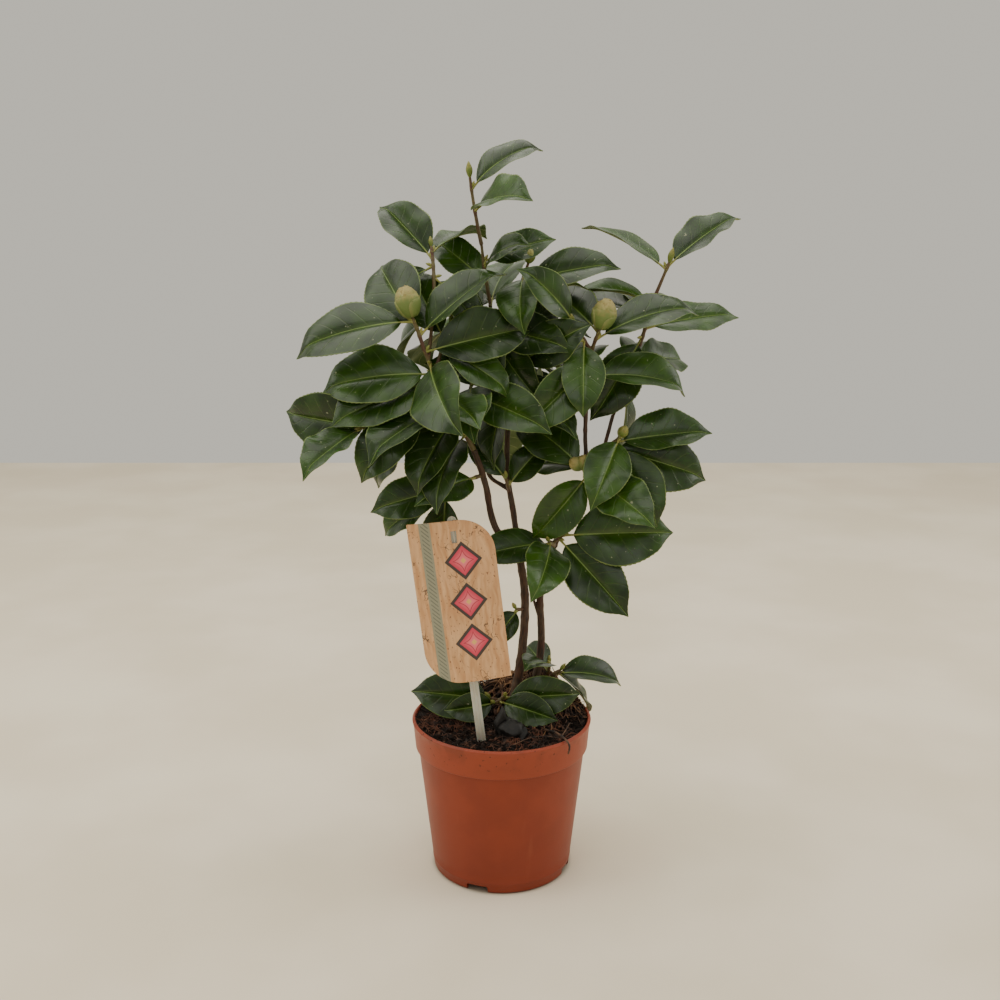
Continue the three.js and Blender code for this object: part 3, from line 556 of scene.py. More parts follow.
soil_points = [(0, 0, INNER_FLOOR + SOIL_GAP)]
soil_outline = [(corner_centre[0] - 1, INNER_FLOOR + SOIL_GAP)]
soil_outline += [(corner_centre[0] + 3.4, corner_height)]
soil_outline += [(WALL_RADIUS_UNDER_BAND - 3, BAND_FOOT - 2), (SOIL_EDGE - 1.2, BAND_FOOT + 3)]
soil_rows = soil_outline + [(SOIL_EDGE * (1 - ring / SOIL_RINGS), None) for ring in range(SOIL_RINGS)]
for radius, height in soil_rows:
    for turn in range(SOIL_TURNS):
        angle = 2 * math.pi * turn / SOIL_TURNS
        x, y = radius * math.cos(angle), radius * math.sin(angle)
        z = soil_height(x, y) + crumbly(x, y) if height is None else height
        soil_points.append((x, y, z))
soil_points.append((0, 0, soil_height(0, 0) + crumbly(0, 0)))


def ring_faces(rows, turns):
    """Faces of stacked rings that start and end on a single point."""
    first = 1
    faces = [(0, first + (i + 1) % turns, first + i) for i in range(turns)]
    for row in range(rows - 1):
        low, high = first + row * turns, first + (row + 1) * turns
        for i in range(turns):
            j = (i + 1) % turns
            faces.append((low + i, low + j, high + j, high + i))
    top = first + rows * turns
    faces += [(top - turns + i, top - turns + (i + 1) % turns, top) for i in range(turns)]
    return faces


# %% [markdown]
# Moist compost is nearly black, with browner fibres in it, and it scatters light in
# every direction, so it is rough and hardly shines.

# %% Finishes of the compost and what lies in it


def compost_recipe(graph):
    here = place(graph)
    lump = grain(graph, here, 0.004, 4.0)
    fine = grain(graph, here, 0.0012, 3.0)
    colour = graph.mix(lump.rise(0.40, 0.72), srgb(12, 7, 4), srgb(36, 21, 12))
    colour = graph.mix(fine.rise(0.62, 0.75) * 0.5, colour, srgb(84, 49, 30))
    return {"Base Color": colour, "Height": lump + fine * 0.5}


def fibre_recipe(dark, light):
    def recipe(graph):
        here = place(graph)
        patch = grain(graph, here, 0.012, 2.0)
        return {"Base Color": graph.mix(patch.rise(0.35, 0.65), dark, light)}
    return recipe


compost_dark = paint("compost_dark", compost_recipe, bump=0.0012, Roughness=0.92, Specular_IOR_Level=0.2)
crumb_brown = paint("crumb_brown", compost_recipe, bump=0.0006, Roughness=0.9, Specular_IOR_Level=0.2)
fibre_red = paint("fibre_red", fibre_recipe(srgb(32, 18, 11), srgb(96, 52, 31)), Roughness=0.8)
bark_chip = paint("bark_chip", fibre_recipe(srgb(28, 18, 13), srgb(88, 54, 34)), Roughness=0.85)
root_tan = paint("root_tan", fibre_recipe(srgb(66, 42, 28), srgb(142, 104, 70)), Roughness=0.8)
white_grit = paint("white_grit", fibre_recipe(srgb(190, 184, 170), srgb(232, 228, 218)), Roughness=0.8)
compost = make_piece(
    "compost_body", soil_points, ring_faces(len(soil_rows), SOIL_TURNS), [compost_dark]
)
seat(compost, "compost", "compost")

# %% [markdown]
# Crumbs, chips of bark and bits of fibre all lie on the compost in the same way:
# thousands of them, each turned and sized at random. Geometry Nodes does this well.
# One tree scatters points over the surface it is given, puts a copy of some piece on
# each, and ends by making the copies real, because an export would lose instances.
# The points lie on a patch of the compost's top, so none ends up under it.

# %% A tree that scatters pieces over a surface


def group(name, inputs):
    """A geometry tree with named inputs, and the wires that carry them."""
    tree = bpy.data.node_groups.new(name, "GeometryNodeTree")
    graph = Graph(tree)
    tree.interface.new_socket("Geometry", in_out="OUTPUT", socket_type="NodeSocketGeometry")
    for label, kind in {"Geometry": "NodeSocketGeometry", **inputs}.items():
        tree.interface.new_socket(label, in_out="INPUT", socket_type=kind)
    entry = graph.node("NodeGroupInput")
    wires = {label: Wire(graph, entry.outputs[label]) for label in ["Geometry", *inputs]}
    return tree, graph, wires


def attach(tree, piece, values):
    """Puts a geometry tree on a piece and sets its inputs."""
    modifier = piece.modifiers.new("nodes", "NODES")
    modifier.node_group = tree
    for item in tree.interface.items_tree:
        if item.in_out == "INPUT" and item.name in values:
            modifier[item.identifier] = values[item.name]


scatter, graph, wire = group("scatter_on_soil", {
    "Piece": "NodeSocketObject",
    "Density": "NodeSocketFloat",
    "Clumping": "NodeSocketFloat",
    "Smallest": "NodeSocketFloat",
    "Largest": "NodeSocketFloat",
    "Tilt": "NodeSocketFloat",
    "Seed": "NodeSocketInt",
    "Finish": "NodeSocketMaterial",
})
patches = graph.add("ShaderNodeTexNoise", None, {"Scale": 90.0, "Detail": 2.0})
crowding = 1 + wire["Clumping"] * (patches.rise(0.42, 0.62) * 2.0 - 1.0)
strewn = graph.node("GeometryNodeDistributePointsOnFaces", None, {
    "Mesh": wire["Geometry"], "Density": wire["Density"] * crowding, "Seed": wire["Seed"],
})
spots, slope = (Wire(graph, strewn.outputs[name]) for name in ("Points", "Rotation"))
copy = graph.add("GeometryNodeObjectInfo", None, {"Object": wire["Piece"]}, out="Geometry")
tilt_limits = {"Min": graph.add("ShaderNodeCombineXYZ", None, {
    "X": -wire["Tilt"], "Y": -wire["Tilt"], "Z": 0.0,
}), "Max": graph.add("ShaderNodeCombineXYZ", None, {
    "X": wire["Tilt"], "Y": wire["Tilt"], "Z": 2 * math.pi,
}), "Seed": wire["Seed"]}
turn = graph.add("FunctionNodeRandomValue", {"data_type": "FLOAT_VECTOR"}, tilt_limits)
turn = graph.add("FunctionNodeRotateRotation", {"rotation_space": "LOCAL"}, {
    "Rotation": slope, "Rotate By": graph.add("FunctionNodeEulerToRotation", None, {"Euler": turn}),
})
size = graph.add("FunctionNodeRandomValue", {"data_type": "FLOAT"}, {
    2: wire["Smallest"], 3: wire["Largest"], "Seed": wire["Seed"],
}, out=1)
laid = graph.add("GeometryNodeInstanceOnPoints", None, {
    "Points": spots, "Instance": copy, "Rotation": turn, "Scale": size,
})
real = graph.add("GeometryNodeRealizeInstances", None, {"Geometry": laid})
done = graph.add("GeometryNodeSetMaterial", None, {"Geometry": real, "Material": wire["Finish"]})
graph.node("NodeGroupOutput", None, {"Geometry": done})
print("scatter tree nodes:", len(scatter.nodes))

# %% [markdown]
# Rough crumbs and lumps lie about, flat chips and bigger pieces of bark, and short
# curly fibres. Each sort is modelled once, a few millimetres long and with few faces,
# since it is repeated so often.

# %% The bits, and where they fall
PATCH_TURNS = 48
PATCH_RINGS = 14
PATCH_SINK = 0.85
WALL_GAP = 0.6


def vec(values):
    return np.array(values, float)


def unit(vector):
    return vector / np.linalg.norm(vector)


def between(limits, share):
    return limits[0] + (limits[1] - limits[0]) * share


def limb_point(path, share):
    """A point of a limb's middle line, a smooth curve through the limb's points."""
    spans = len(path) - 1
    position = min(spans - 1e-9, max(0.0, share * spans))
    i = int(position)
    t = position - i
    b, c = vec(path[i]), vec(path[i + 1])
    a = vec(path[i - 1]) if i > 0 else 2 * b - c
    d = vec(path[i + 2]) if i + 2 <= spans else 2 * c - b
    return 0.5 * (
        a * (-t + 2 * t * t - t ** 3) + b * (2 - 5 * t * t + 3 * t ** 3)
        + c * (t + 4 * t * t - 3 * t ** 3) + d * (-t * t + t ** 3)
    )


def tube_rings(path, radii, sides):
    """Rings of points round a path, turned as little as possible from one to the next."""
    path = np.asarray(path, float)
    across = np.array((1.0, 0.0, 0.0))
    rings = []
    for i, point in enumerate(path):
        along = path[min(i + 1, len(path) - 1)] - path[max(i - 1, 0)]
        along /= np.linalg.norm(along)
        across = across - along * across.dot(along)
        if np.linalg.norm(across) < 0.05:
            across = np.cross(along, (0.0, 1.0, 0.0))
        across /= np.linalg.norm(across)
        third = np.cross(along, across)
        angles = 2 * math.pi * np.arange(sides) / sides
        circle = np.outer(np.cos(angles), across) + np.outer(np.sin(angles), third)
        rings.append(point + circle * np.asarray(radii[i]).reshape(-1, 1))
    return rings


def tube_mesh(path, radii, sides):
    """Points and faces of a closed tube along a path."""
    rings = tube_rings(path, radii, sides)
    points = np.vstack([path[0], *rings, path[-1]])
    return points, ring_faces(len(rings), sides)


def stone(name, size, roughness, subdivisions=1):
    """A small lump with uneven sides, size millimetres across each way."""
    shape = bmesh.new()
    bmesh.ops.create_icosphere(shape, subdivisions=subdivisions, radius=0.5)
    for vertex in shape.verts:
        vertex.co *= 1 + roughness * noise.noise(vertex.co * 3.1 + Vector((len(name), 0, 0)))
    points = [tuple(c * s for c, s in zip(v.co, size)) for v in shape.verts]
    faces = [tuple(v.index for v in f.verts) for f in shape.faces]
    shape.free()
    return make_piece(name, points, faces, [], smooth=False)


def curl(name, length, bow, radius):
    """A short thread that bows sideways and a little up."""
    steps = np.linspace(-0.5, 0.5, 7)
    path = [(length * t, bow * math.cos(3.4 * t), 0.5 * bow * math.sin(5 * t)) for t in steps]
    points, faces = tube_mesh(path, [radius * (1.15 - abs(t)) for t in steps], 4)
    return make_piece(name, points, faces, [])


def soil_patch(name, centre, reach):
    """A round patch of the compost's top on its own, to scatter things on."""
    points = []
    turns, rings = PATCH_TURNS, PATCH_RINGS
    for ring in range(rings):
        radius = reach * (1 - ring / rings)
        for step in range(turns):
            angle = 2 * math.pi * step / turns
            x = centre[0] + radius * math.cos(angle)
            y = centre[1] + radius * math.sin(angle)
            points.append((x, y, soil_height(x, y) + crumbly(x, y) * PATCH_SINK))
    faces = []
    for ring in range(rings - 1):
        for i in range(turns):
            j = (i + 1) % turns
            low, high = ring * turns, (ring + 1) * turns
            faces.append((low + i, low + j, high + j, high + i))
    faces.append(tuple(range((rings - 1) * turns, rings * turns)))
    return make_piece(name, points, faces, [])


def keep_in_pot(piece):
    """Presses back against the wall whatever sticks out past it."""
    wall = SOIL_EDGE + WALL_GAP
    for vertex in piece.data.vertices:
        away = math.hypot(vertex.co.x, vertex.co.y) / MM
        if away > wall:
            vertex.co.x *= wall / away
            vertex.co.y *= wall / away


def crumb():
    return stone("crumb", (2.2, 1.8, 1.5), 0.9)


def lump():
    return stone("lump", (5.2, 4.2, 3.4), 1.0)


def chip():
    return stone("chip", (7.0, 3.2, 1.4), 0.8)


def fibre():
    return curl("fibre", 15, 3.6, 0.30)


def bark_piece():
    return stone("bark_piece", (12, 7, 4), 0.7, subdivisions=2)


Litter = namedtuple("Litter", "name make centre reach density clumping sizes tilt seed finish")
MIDDLE = (0, 0)
LITTER = [
    Litter("soil_crumbs", crumb, MIDDLE, 80, 150000, 0.3, (0.5, 1.7), 3.0, 3, crumb_brown),
    Litter("soil_lumps", lump, MIDDLE, 77, 21000, 0.4, (0.5, 1.5), 3.0, 8, compost_dark),
    Litter("bark_chips", chip, MIDDLE, 77, 13000, 0.2, (0.5, 1.3), 0.8, 11, bark_chip),
    Litter("bark_pieces", bark_piece, MIDDLE, 70, 1100, 0.2, (0.5, 1.1), 0.5, 15, bark_chip),
    Litter("brown_fibres", fibre, MIDDLE, 77, 22000, 0.9, (0.4, 1.2), 0.5, 5, bark_chip),
    Litter("red_fibres", fibre, (-56, -6), 24, 42000, 0.9, (0.5, 1.2), 0.5, 17, fibre_red),
    Litter("front_fibres", fibre, (26, -52), 26, 20000, 0.9, (0.5, 1.2), 0.4, 29, fibre_red),
    Litter("mound_fibres", fibre, (32, 34), 36, 50000, 0.3, (0.6, 1.3), 0.6, 33, bark_chip),
    Litter("white_grit", crumb, MIDDLE, 76, 900, 0.0, (0.5, 0.8), 3.0, 41, white_grit),
]
for litter in LITTER:
    bit = litter.make()
    bed = soil_patch(litter.name + "_bed", litter.centre, litter.reach)
    attach(scatter, bed, {
        "Piece": bit, "Density": litter.density, "Clumping": litter.clumping,
        "Smallest": litter.sizes[0], "Largest": litter.sizes[1], "Tilt": litter.tilt,
        "Seed": litter.seed, "Finish": litter.finish,
    })
    piece = baked(bed, litter.name)
    bpy.data.objects.remove(bit)
    keep_in_pot(piece)
    seat(piece, "compost")

# %% [markdown]
# Longer roots lie over all this, and no two are alike. Each one sets out from a random
# spot, wanders as it goes, and follows the ground below it, which it leaves in low
# arches. They lie thickest over the mound, where the root ball comes up, and are
# reddish in front and fine as hair at the left, where the coir is.

# %% Roots that lie over the compost
ROOT_STEPS = 12
ROOT_SIDES = 5
RootGroup = namedtuple("RootGroup", "name centre reach count lengths radii wander arch seed finish")
ROOT_GROUPS = [
    RootGroup("mound_roots", (34, 36), 36, 190, (22, 55), (0.35, 0.8), 1.1, 5.0, 5, root_tan),
    RootGroup("dark_roots", (34, 34), 38, 170, (18, 46), (0.4, 0.9), 1.3, 4.0, 6, bark_chip),
    RootGroup("front_roots", (30, -50), 25, 44, (24, 52), (0.25, 0.5), 0.7, 2.2, 7, fibre_red),
    RootGroup("coir_roots", (-54, -8), 24, 90, (14, 32), (0.18, 0.32), 1.3, 2.4, 11, fibre_red),
    RootGroup("spread_roots", MIDDLE, 70, 110, (16, 46), (0.22, 0.5), 1.0, 2.0, 13, bark_chip),
]


def draped_root(group, draw):
    """Path and radii of one root that wanders over the compost."""
    away, turn = group.reach * math.sqrt(draw.random()), 2 * math.pi * draw.random()
    x, y = group.centre[0] + away * math.cos(turn), group.centre[1] + away * math.sin(turn)
    way = 2 * math.pi * draw.random()
    length = between(group.lengths, draw.random())
    radius = between(group.radii, draw.random())
    arches = 1 + 2 * draw.random()
    path, radii = [], []
    for step in range(ROOT_STEPS + 1):
        t = step / ROOT_STEPS
        clear = group.arch * abs(math.sin(math.pi * arches * t)) * (1 - (2 * t - 1) ** 4)
        path.append((x, y, soil_height(x, y) + crumbly(x, y) + radius * 0.5 + clear))
        radii.append(radius * (1.15 - 0.6 * t) * (1 + 0.12 * math.sin(9 * t + arches)))
        way += group.wander * (draw.random() - 0.5)
        x += length / ROOT_STEPS * math.cos(way)
        y += length / ROOT_STEPS * math.sin(way)
    return path, radii


def tubes_piece(name, tubes, sides, materials):
    """Tubes, each a path with radii, as one mesh object."""
    points, faces = [], []
    for path, radii in tubes:
        more, more_faces = tube_mesh(path, radii, sides)
        faces.extend(tuple(len(points) + i for i in face) for face in more_faces)
        points.extend(more)
    return make_piece(name, points, faces, materials)


for group_of_roots in ROOT_GROUPS:
    draw = random.Random(group_of_roots.seed)
    tubes = [draped_root(group_of_roots, draw) for _ in range(group_of_roots.count)]
    piece = tubes_piece(group_of_roots.name, tubes, ROOT_SIDES, [group_of_roots.finish])
    keep_in_pot(piece)
    seat(piece, "compost")

# %% [markdown]
# A few things on the compost are seen one by one, so they are listed one by one: a
# blocky black clod in front of the stems, and thin dark twigs, one of which hangs out
# over the rim. Each block of the clod is a finely divided ball that a handful of random
# planes cut flat, so it has the broad, blunt facets of broken wet peat. Each twig is a
# tube along a smooth path.

# %% The black clod and the twigs


def clod_recipe(graph):
    here = place(graph)
    patch = grain(graph, here, 0.005, 3.0)
    colour = graph.mix(patch.rise(0.35, 0.7), srgb(12, 11, 10), srgb(31, 28, 26))
    return {"Base Color": colour, "Roughness": 0.40 + patch * 0.3, "Height": patch}


ClodBlock = namedtuple("ClodBlock", "middle size turn seed")
CLOD_BLOCKS = [
    ClodBlock((9, -45), (23, 17, 17), 0.3, 2),
    ClodBlock((-1, -40), (10, 12, 32), -0.2, 4),
    ClodBlock((19, -47), (12, 10, 13), 0.8, 6),
    ClodBlock((8, -36), (16, 11, 18), -0.5, 8),
]
CLOD_PLANES = 12
PLANE_REACH = (0.62, 0.86)
CLOD_LIFT = 0.22
CLOD_SWELL = 0.62
CLOD_BUMP = 0.9
LOOSE_TWIGS = [
    (1.05, [(40, -34, 150), (49, -47, 153.4), (57, -60.5, 153), (60.6, -65.6, 150),
            (61, -66.6, 145.5), (60, -66.6, 141)]),
    (0.55, [(55, -50, 151), (60, -40, 154), (63, -31, 155), (66, -24, 152)]),
    (0.60, [(28, 20, 172), (34, 13, 181), (45, 10, 180), (55, 14, 169)]),
    (0.55, [(50, 16, 168), (46, 22, 180), (40, 27, 189), (36, 30, 192)]),
    (0.60, [(38, 12, 166), (50, 20, 178), (61, 28, 186), (66, 31, 188)]),
    (0.50, [(66, 20, 160), (58, 20, 172), (52, 21, 184), (49, 22, 190)]),
    (0.50, [(10, -66, 149), (24, -60, 153), (38, -57, 154), (52, -52, 150)]),
]
TWIG_STEPS = 24
LOOSE_TWIG_SIDES = 7


def clod_block(block):
    """One faceted block of the clod, sunk into the compost."""
    draw = random.Random(block.seed)
    part = stone("clod_block", (2, 2, 2), 0.0, subdivisions=4)
    planes = []
    for _ in range(CLOD_PLANES):
        facing = unit(vec([draw.gauss(0, 1) for _ in range(3)]))
        planes.append((facing, between(PLANE_REACH, draw.random())))
    spin = Matrix.Rotation(block.turn, 3, "Z")
    ground = soil_height(*block.middle) + block.size[2] * CLOD_LIFT
    for vertex in part.data.vertices:
        spot = vec(vertex.co) / MM
        for facing, reach in planes:
            spot = spot - facing * max(0.0, spot.dot(facing) - reach)
        spot = spin @ Vector(spot * vec(block.size) * CLOD_SWELL)
        rough = noise.noise(spot / 4 + Vector((0, 0, 9 * block.seed))) * CLOD_BUMP
        spot = spot * (1 + rough / 12) + Vector((*block.middle, ground))
        vertex.co = spot * MM
    return part


def joined(parts, name):
    """Joins finished meshes into one piece."""
    with bpy.context.temp_override(
        active_object=parts[0], selected_objects=parts, selected_editable_objects=parts,
    ):
        bpy.ops.object.join()
    parts[0].name = name
    parts[0].data.name = name
    shade(parts[0].data)
    return parts[0]


clod_black = paint("black_clod", clod_recipe, bump=0.0006, Specular_IOR_Level=0.35)
clod = joined([clod_block(block) for block in CLOD_BLOCKS], "black_clod")
clod.data.materials.append(clod_black)
clod.data.set_sharp_from_angle(angle=math.radians(24))
seat(clod, "compost")

twig_dark = paint("dry_twig", fibre_recipe(srgb(26, 17, 12), srgb(98, 68, 46)), Roughness=0.75)
tubes = []
for radius, path in LOOSE_TWIGS:
    shares = [i / TWIG_STEPS for i in range(TWIG_STEPS + 1)]
    radii = [radius * (1.1 - 0.35 * t + 0.12 * math.sin(41 * t)) for t in shares]
    tubes.append(([limb_point(path, t) for t in shares], radii))
seat(tubes_piece("loose_twigs", tubes, LOOSE_TWIG_SIDES, [twig_dark]), "compost")

# %% [markdown]
# The label is a card on a plastic stick. The card is curled a little about its height
# and two of its corners are rounded off. It is built as a grid that follows the same
# curl as the solid, with a front, a back and a thin edge all round.

# %% The label's card and stick
CARD_WIDTH = 75
CARD_HEIGHT = 150
CARD_THICKNESS = 0.8
CARD_CORNER = 31
CARD_CENTRE = (-37.5, -55, 280)
CARD_TILT = math.radians(7)
CARD_CURL_RADIUS = 150
CARD_COLUMNS = 60
CARD_ROWS = 40
SLIT_ACROSS = 3
SLIT_UP = 60
SLIT_WIDTH = 5
SLIT_HEIGHT = 11
SLIT_CUT = 5
STICK_WIDTH = 8
STICK_THICKNESS = 2
STICK_FOOT = -182
STICK_TOP = 78.5
STICK_POINT = (22, 1.5)
STICK_GAP = 0.3
STICK_SECTION = [
    (-1, 0.35), (-0.82, 0), (-0.3, 0.1), (-0.2, -0.35), (0.2, -0.35), (0.3, 0.1),
    (0.82, 0), (1, 0.35), (1, 0.65), (0.82, 1), (-0.82, 1), (-1, 0.65),
]


def leaned(origin, across, up, back):
    """A point across, up and back from an origin, leaning as the label does."""
    x, y, z = origin
    return (
        x + across * math.cos(CARD_TILT) - up * math.sin(CARD_TILT),
        y + back,
        z + across * math.sin(CARD_TILT) + up * math.cos(CARD_TILT),
    )


def card_point(across, up, behind=0.0):
    """A point of the card: across and up from its middle, and behind its face."""
    curl_back = CARD_CURL_RADIUS - math.sqrt(CARD_CURL_RADIUS ** 2 - across ** 2)
    x, y, z = CARD_CENTRE
    return leaned((x, y + curl_back, z), across, up, behind)


def card_top(across):
    past = max(0.0, across - (CARD_WIDTH / 2 - CARD_CORNER))
    return CARD_HEIGHT / 2 - CARD_CORNER + math.sqrt(max(0.0, CARD_CORNER ** 2 - past ** 2))


def card_mesh():
    """Front and back grids of the card, sewn together along their edges."""
    columns = [-CARD_WIDTH / 2 * math.cos(math.pi * i / CARD_COLUMNS) for i in range(CARD_COLUMNS + 1)]
    points, uv = [], []
    for behind in (0.0, CARD_THICKNESS):
        for across in columns:
            low, high = -card_top(-across), card_top(across)
            for row in range(CARD_ROWS + 1):
                up = low + (high - low) * row / CARD_ROWS
                points.append(card_point(across, up, behind))
                uv.append((across / CARD_WIDTH + 0.5, up / CARD_HEIGHT + 0.5))
    side = (CARD_COLUMNS + 1) * (CARD_ROWS + 1)
    step = CARD_ROWS + 1
    faces = []
    for column in range(CARD_COLUMNS):
        for row in range(CARD_ROWS):
            a = column * step + row
            faces.append((a, a + step, a + step + 1, a + 1))
            faces.append((side + a, side + a + 1, side + a + step + 1, side + a + step))
        low, high = column * step, column * step + CARD_ROWS
        faces.append((low, side + low, side + low + step, low + step))
        faces.append((high, high + step, side + high + step, side + high))
    for column, flip in ((0, False), (CARD_COLUMNS, True)):
        for row in range(CARD_ROWS):
            a = column * step + row
            quad = (a, a + 1, side + a + 1, side + a)
            faces.append(quad[::-1] if flip else quad)
    return points, faces, uv


def stick_mesh():
    """The stick: a flat strip with a raised rib, a round head and a pointed foot."""
    half_head = STICK_WIDTH / 2
    levels = [(STICK_FOOT, STICK_POINT[1]), (STICK_FOOT + STICK_POINT[0], STICK_WIDTH / 2)]
    levels += [(up, STICK_WIDTH / 2) for up in np.linspace(STICK_FOOT + 40, STICK_TOP - 5, 12)]
    for angle in np.radians(np.linspace(10, 80, 6)):
        levels.append((STICK_TOP - half_head * (1 - math.sin(angle)), half_head * math.cos(angle)))
    middle = card_point(SLIT_ACROSS, 0, CARD_THICKNESS + STICK_GAP)
    points = []
    for up, half_width in levels:
        for share, deep in STICK_SECTION:
            depth = STICK_THICKNESS * (0.2 + 0.8 * deep)
            points.append(leaned(middle, half_width * share, up, depth))
    count = len(STICK_SECTION)
    faces = [tuple(range(count))[::-1], tuple(range(len(points) - count, len(points)))]
    for level in range(len(levels) - 1):
        for i in range(count):
            j = (i + 1) % count
            a, b = level * count, (level + 1) * count
            faces.append((a + i, a + j, b + j, b + i))
    return points, faces


# %% [markdown]
# The card is printed. Its ground looks like a tan board with a soft grain and dark
# flecks. The design here is a plain one of its own: a column of three dark lozenges
# with pink hearts, and a grey-green stripe of slanting hatches beside them. All of it
# is worked out from the card's UV map, in millimetres. The lozenges repeat because a
# ping-pong node folds the height of the card over and over. The back is left plain.

# %% The card's print and the stick's plastic
LOZENGE_COLUMN = 46
LOZENGE_STEP = 38
LOZENGE_FIRST = 37
LOZENGE_HALF = (16.5, 17.5)
LOZENGE_HEIGHTS = (18, 132)
STRIPE_EDGES = (10.5, 20.5)
HATCH_STEP = 4.0
PRINT_EDGE = 0.03


def board_recipe(graph):
    """The tan board: its colour and relief, and the places that the print needs."""
    u, v = on_uv(graph)
    across = u * CARD_WIDTH
    up = v * CARD_HEIGHT
    where = graph.add("ShaderNodeCombineXYZ", None, {"X": across * MM, "Y": up * MM, "Z": 0.0})
    bend = grain(graph, where, 0.03, 2.0) * 0.01
    bent = graph.add("ShaderNodeCombineXYZ", None, {"X": across * MM + bend, "Y": up * MM, "Z": 0.0})
    fibre = grain(graph, bent, 0.0035, 4.0, stretch=(1, 8, 1))
    cloud = grain(graph, where, 0.022, 3.0)
    fleck = grain(graph, where, 0.0019, 1.0, stretch=(1, 1.7, 1)).rise(0.67, 0.71)
    nick = grain(graph, where, 0.0046, 2.0, stretch=(0.5, 1.6, 1)).rise(0.72, 0.76)
    colour = graph.mix(fibre.rise(0.28, 0.74), srgb(190, 138, 92), srgb(222, 176, 128))
    colour = graph.mix(cloud.rise(0.45, 0.75) * 0.4, colour, srgb(206, 150, 104))
    colour = graph.mix((fleck + nick).math("MINIMUM", 1.0) * 0.75, colour, srgb(92, 52, 32))
    split_line = (grain(graph, where, 0.013, 2.0) - 0.5).abs().rise(0.012, 0.004)
    split_line = split_line * grain(graph, where, 0.03, 1.0).rise(0.54, 0.60)
    colour = graph.mix(split_line * 0.85, colour, srgb(58, 40, 32))
    return colour, fibre - fleck, across, up


def card_back_recipe(graph):
    colour, relief = board_recipe(graph)[:2]
    return {"Base Color": colour, "Roughness": 0.5, "Height": relief}


def card_front_recipe(graph):
    colour, relief, across, up = board_recipe(graph)
    stripe = (across - STRIPE_EDGES[0]).rise(-0.15, 0.15) * (across - STRIPE_EDGES[1]).rise(0.15, -0.15)
    colour = graph.mix(stripe * 0.9, colour, srgb(136, 142, 122))
    hatch = (across + up).math("PINGPONG", HATCH_STEP / 2)
    inside = (across - STRIPE_EDGES[0]).rise(1.6, 2.0) * (across - STRIPE_EDGES[1]).rise(-1.6, -2.0)
    colour = graph.mix(inside * hatch.rise(0.75, 0.55) * 0.7, colour, srgb(84, 88, 78))
    aside = (across - LOZENGE_COLUMN).abs() / LOZENGE_HALF[0]
    above = (up - LOZENGE_FIRST).math("PINGPONG", LOZENGE_STEP / 2) / LOZENGE_HALF[1]
    in_column = up.over(LOZENGE_HEIGHTS[0]) * (1 - up.over(LOZENGE_HEIGHTS[1]))
    far = aside + above
    ring = (far + 4 * (aside * above)) * 0.75
    colour = graph.mix(far.rise(1 + PRINT_EDGE, 1) * in_column, colour, srgb(58, 48, 46))
    pink = graph.mix(far.rise(0.1, 0.8), srgb(238, 120, 132), srgb(206, 54, 82))
    colour = graph.mix(far.rise(0.80, 0.77) * in_column, colour, pink)
    colour = graph.mix((ring - 0.42).abs().rise(0.05, 0.03) * in_column, colour, srgb(176, 36, 62))
    colour = graph.mix(far.rise(0.17, 0.14) * in_column, colour, srgb(228, 176, 104))
    return {"Base Color": colour, "Roughness": 0.44, "Height": relief}


def stick_recipe(graph):
    cloud = grain(graph, place(graph), 0.02, 3.0)
    soiled = graph.add("ShaderNodeSeparateXYZ", None, {"Vector": place(graph)}, out="Z")
    colour = graph.mix(cloud.rise(0.3, 0.7), srgb(190, 184, 170), srgb(210, 206, 194))
    colour = graph.mix(soiled.rise(0.165, 0.145) * 0.5, colour, srgb(112, 96, 82))
    return {"Base Color": colour, "Height": cloud}


CARD_FINISH = {"bump": 0.00012, "Coat_Weight": 0.12, "Coat_Roughness": 0.3}
card_front = paint("card_front_print", card_front_recipe, **CARD_FINISH)
card_back = paint("card_plain_back", card_back_recipe, **CARD_FINISH)
stick_plastic = paint(
    "stick_plastic", stick_recipe, bump=0.0001, Roughness=0.32, Transmission_Weight=0.25,
    Subsurface_Weight=0.2,
)
card_points, card_faces, card_uv = card_mesh()
is_front = [all(i < len(card_points) // 2 for i in face) for face in card_faces]
card = make_piece(
    "label_card_blank", card_points, card_faces, [card_front, card_back],
    choice=[0 if front else 1 for front in is_front], uv=card_uv,
)
slit_middle = Vector(card_point(SLIT_ACROSS, SLIT_UP))
lean_over = Matrix.Rotation(-CARD_TILT, 4, "Y")
slit_points = []
for x in (-1, 1):
    for y in (-1, 1):
        for z in (-1, 1):
            corner = Vector((SLIT_WIDTH / 2 * x, SLIT_CUT * y, SLIT_HEIGHT / 2 * z))
            slit_points.append(slit_middle + lean_over @ corner)
BOX_FACES = [(0, 1, 3, 2), (4, 6, 7, 5), (0, 4, 5, 1), (2, 3, 7, 6), (0, 2, 6, 4), (1, 5, 7, 3)]
slit_cutter = make_piece("slit_cutter", slit_points, BOX_FACES, [], smooth=False)
card = cut(card, [slit_cutter], "label_card_sheet")
card.data.set_sharp_from_angle(angle=math.radians(40))
seat(card, "label_card", "label_card")

stick_points, stick_faces = stick_mesh()
stick = make_piece("label_stick_strip", stick_points, stick_faces, [stick_plastic])
stick.data.set_sharp_from_angle(angle=math.radians(30))
seat(stick, "label_stick", "label_stick")

# %% [markdown]
# Now the plant. Two stems rise from the root ball, lean a little and fork into
# boughs, and each is a smooth curve through a few points. The same table of limbs
# made the solids, so the bark below sits exactly where they are.

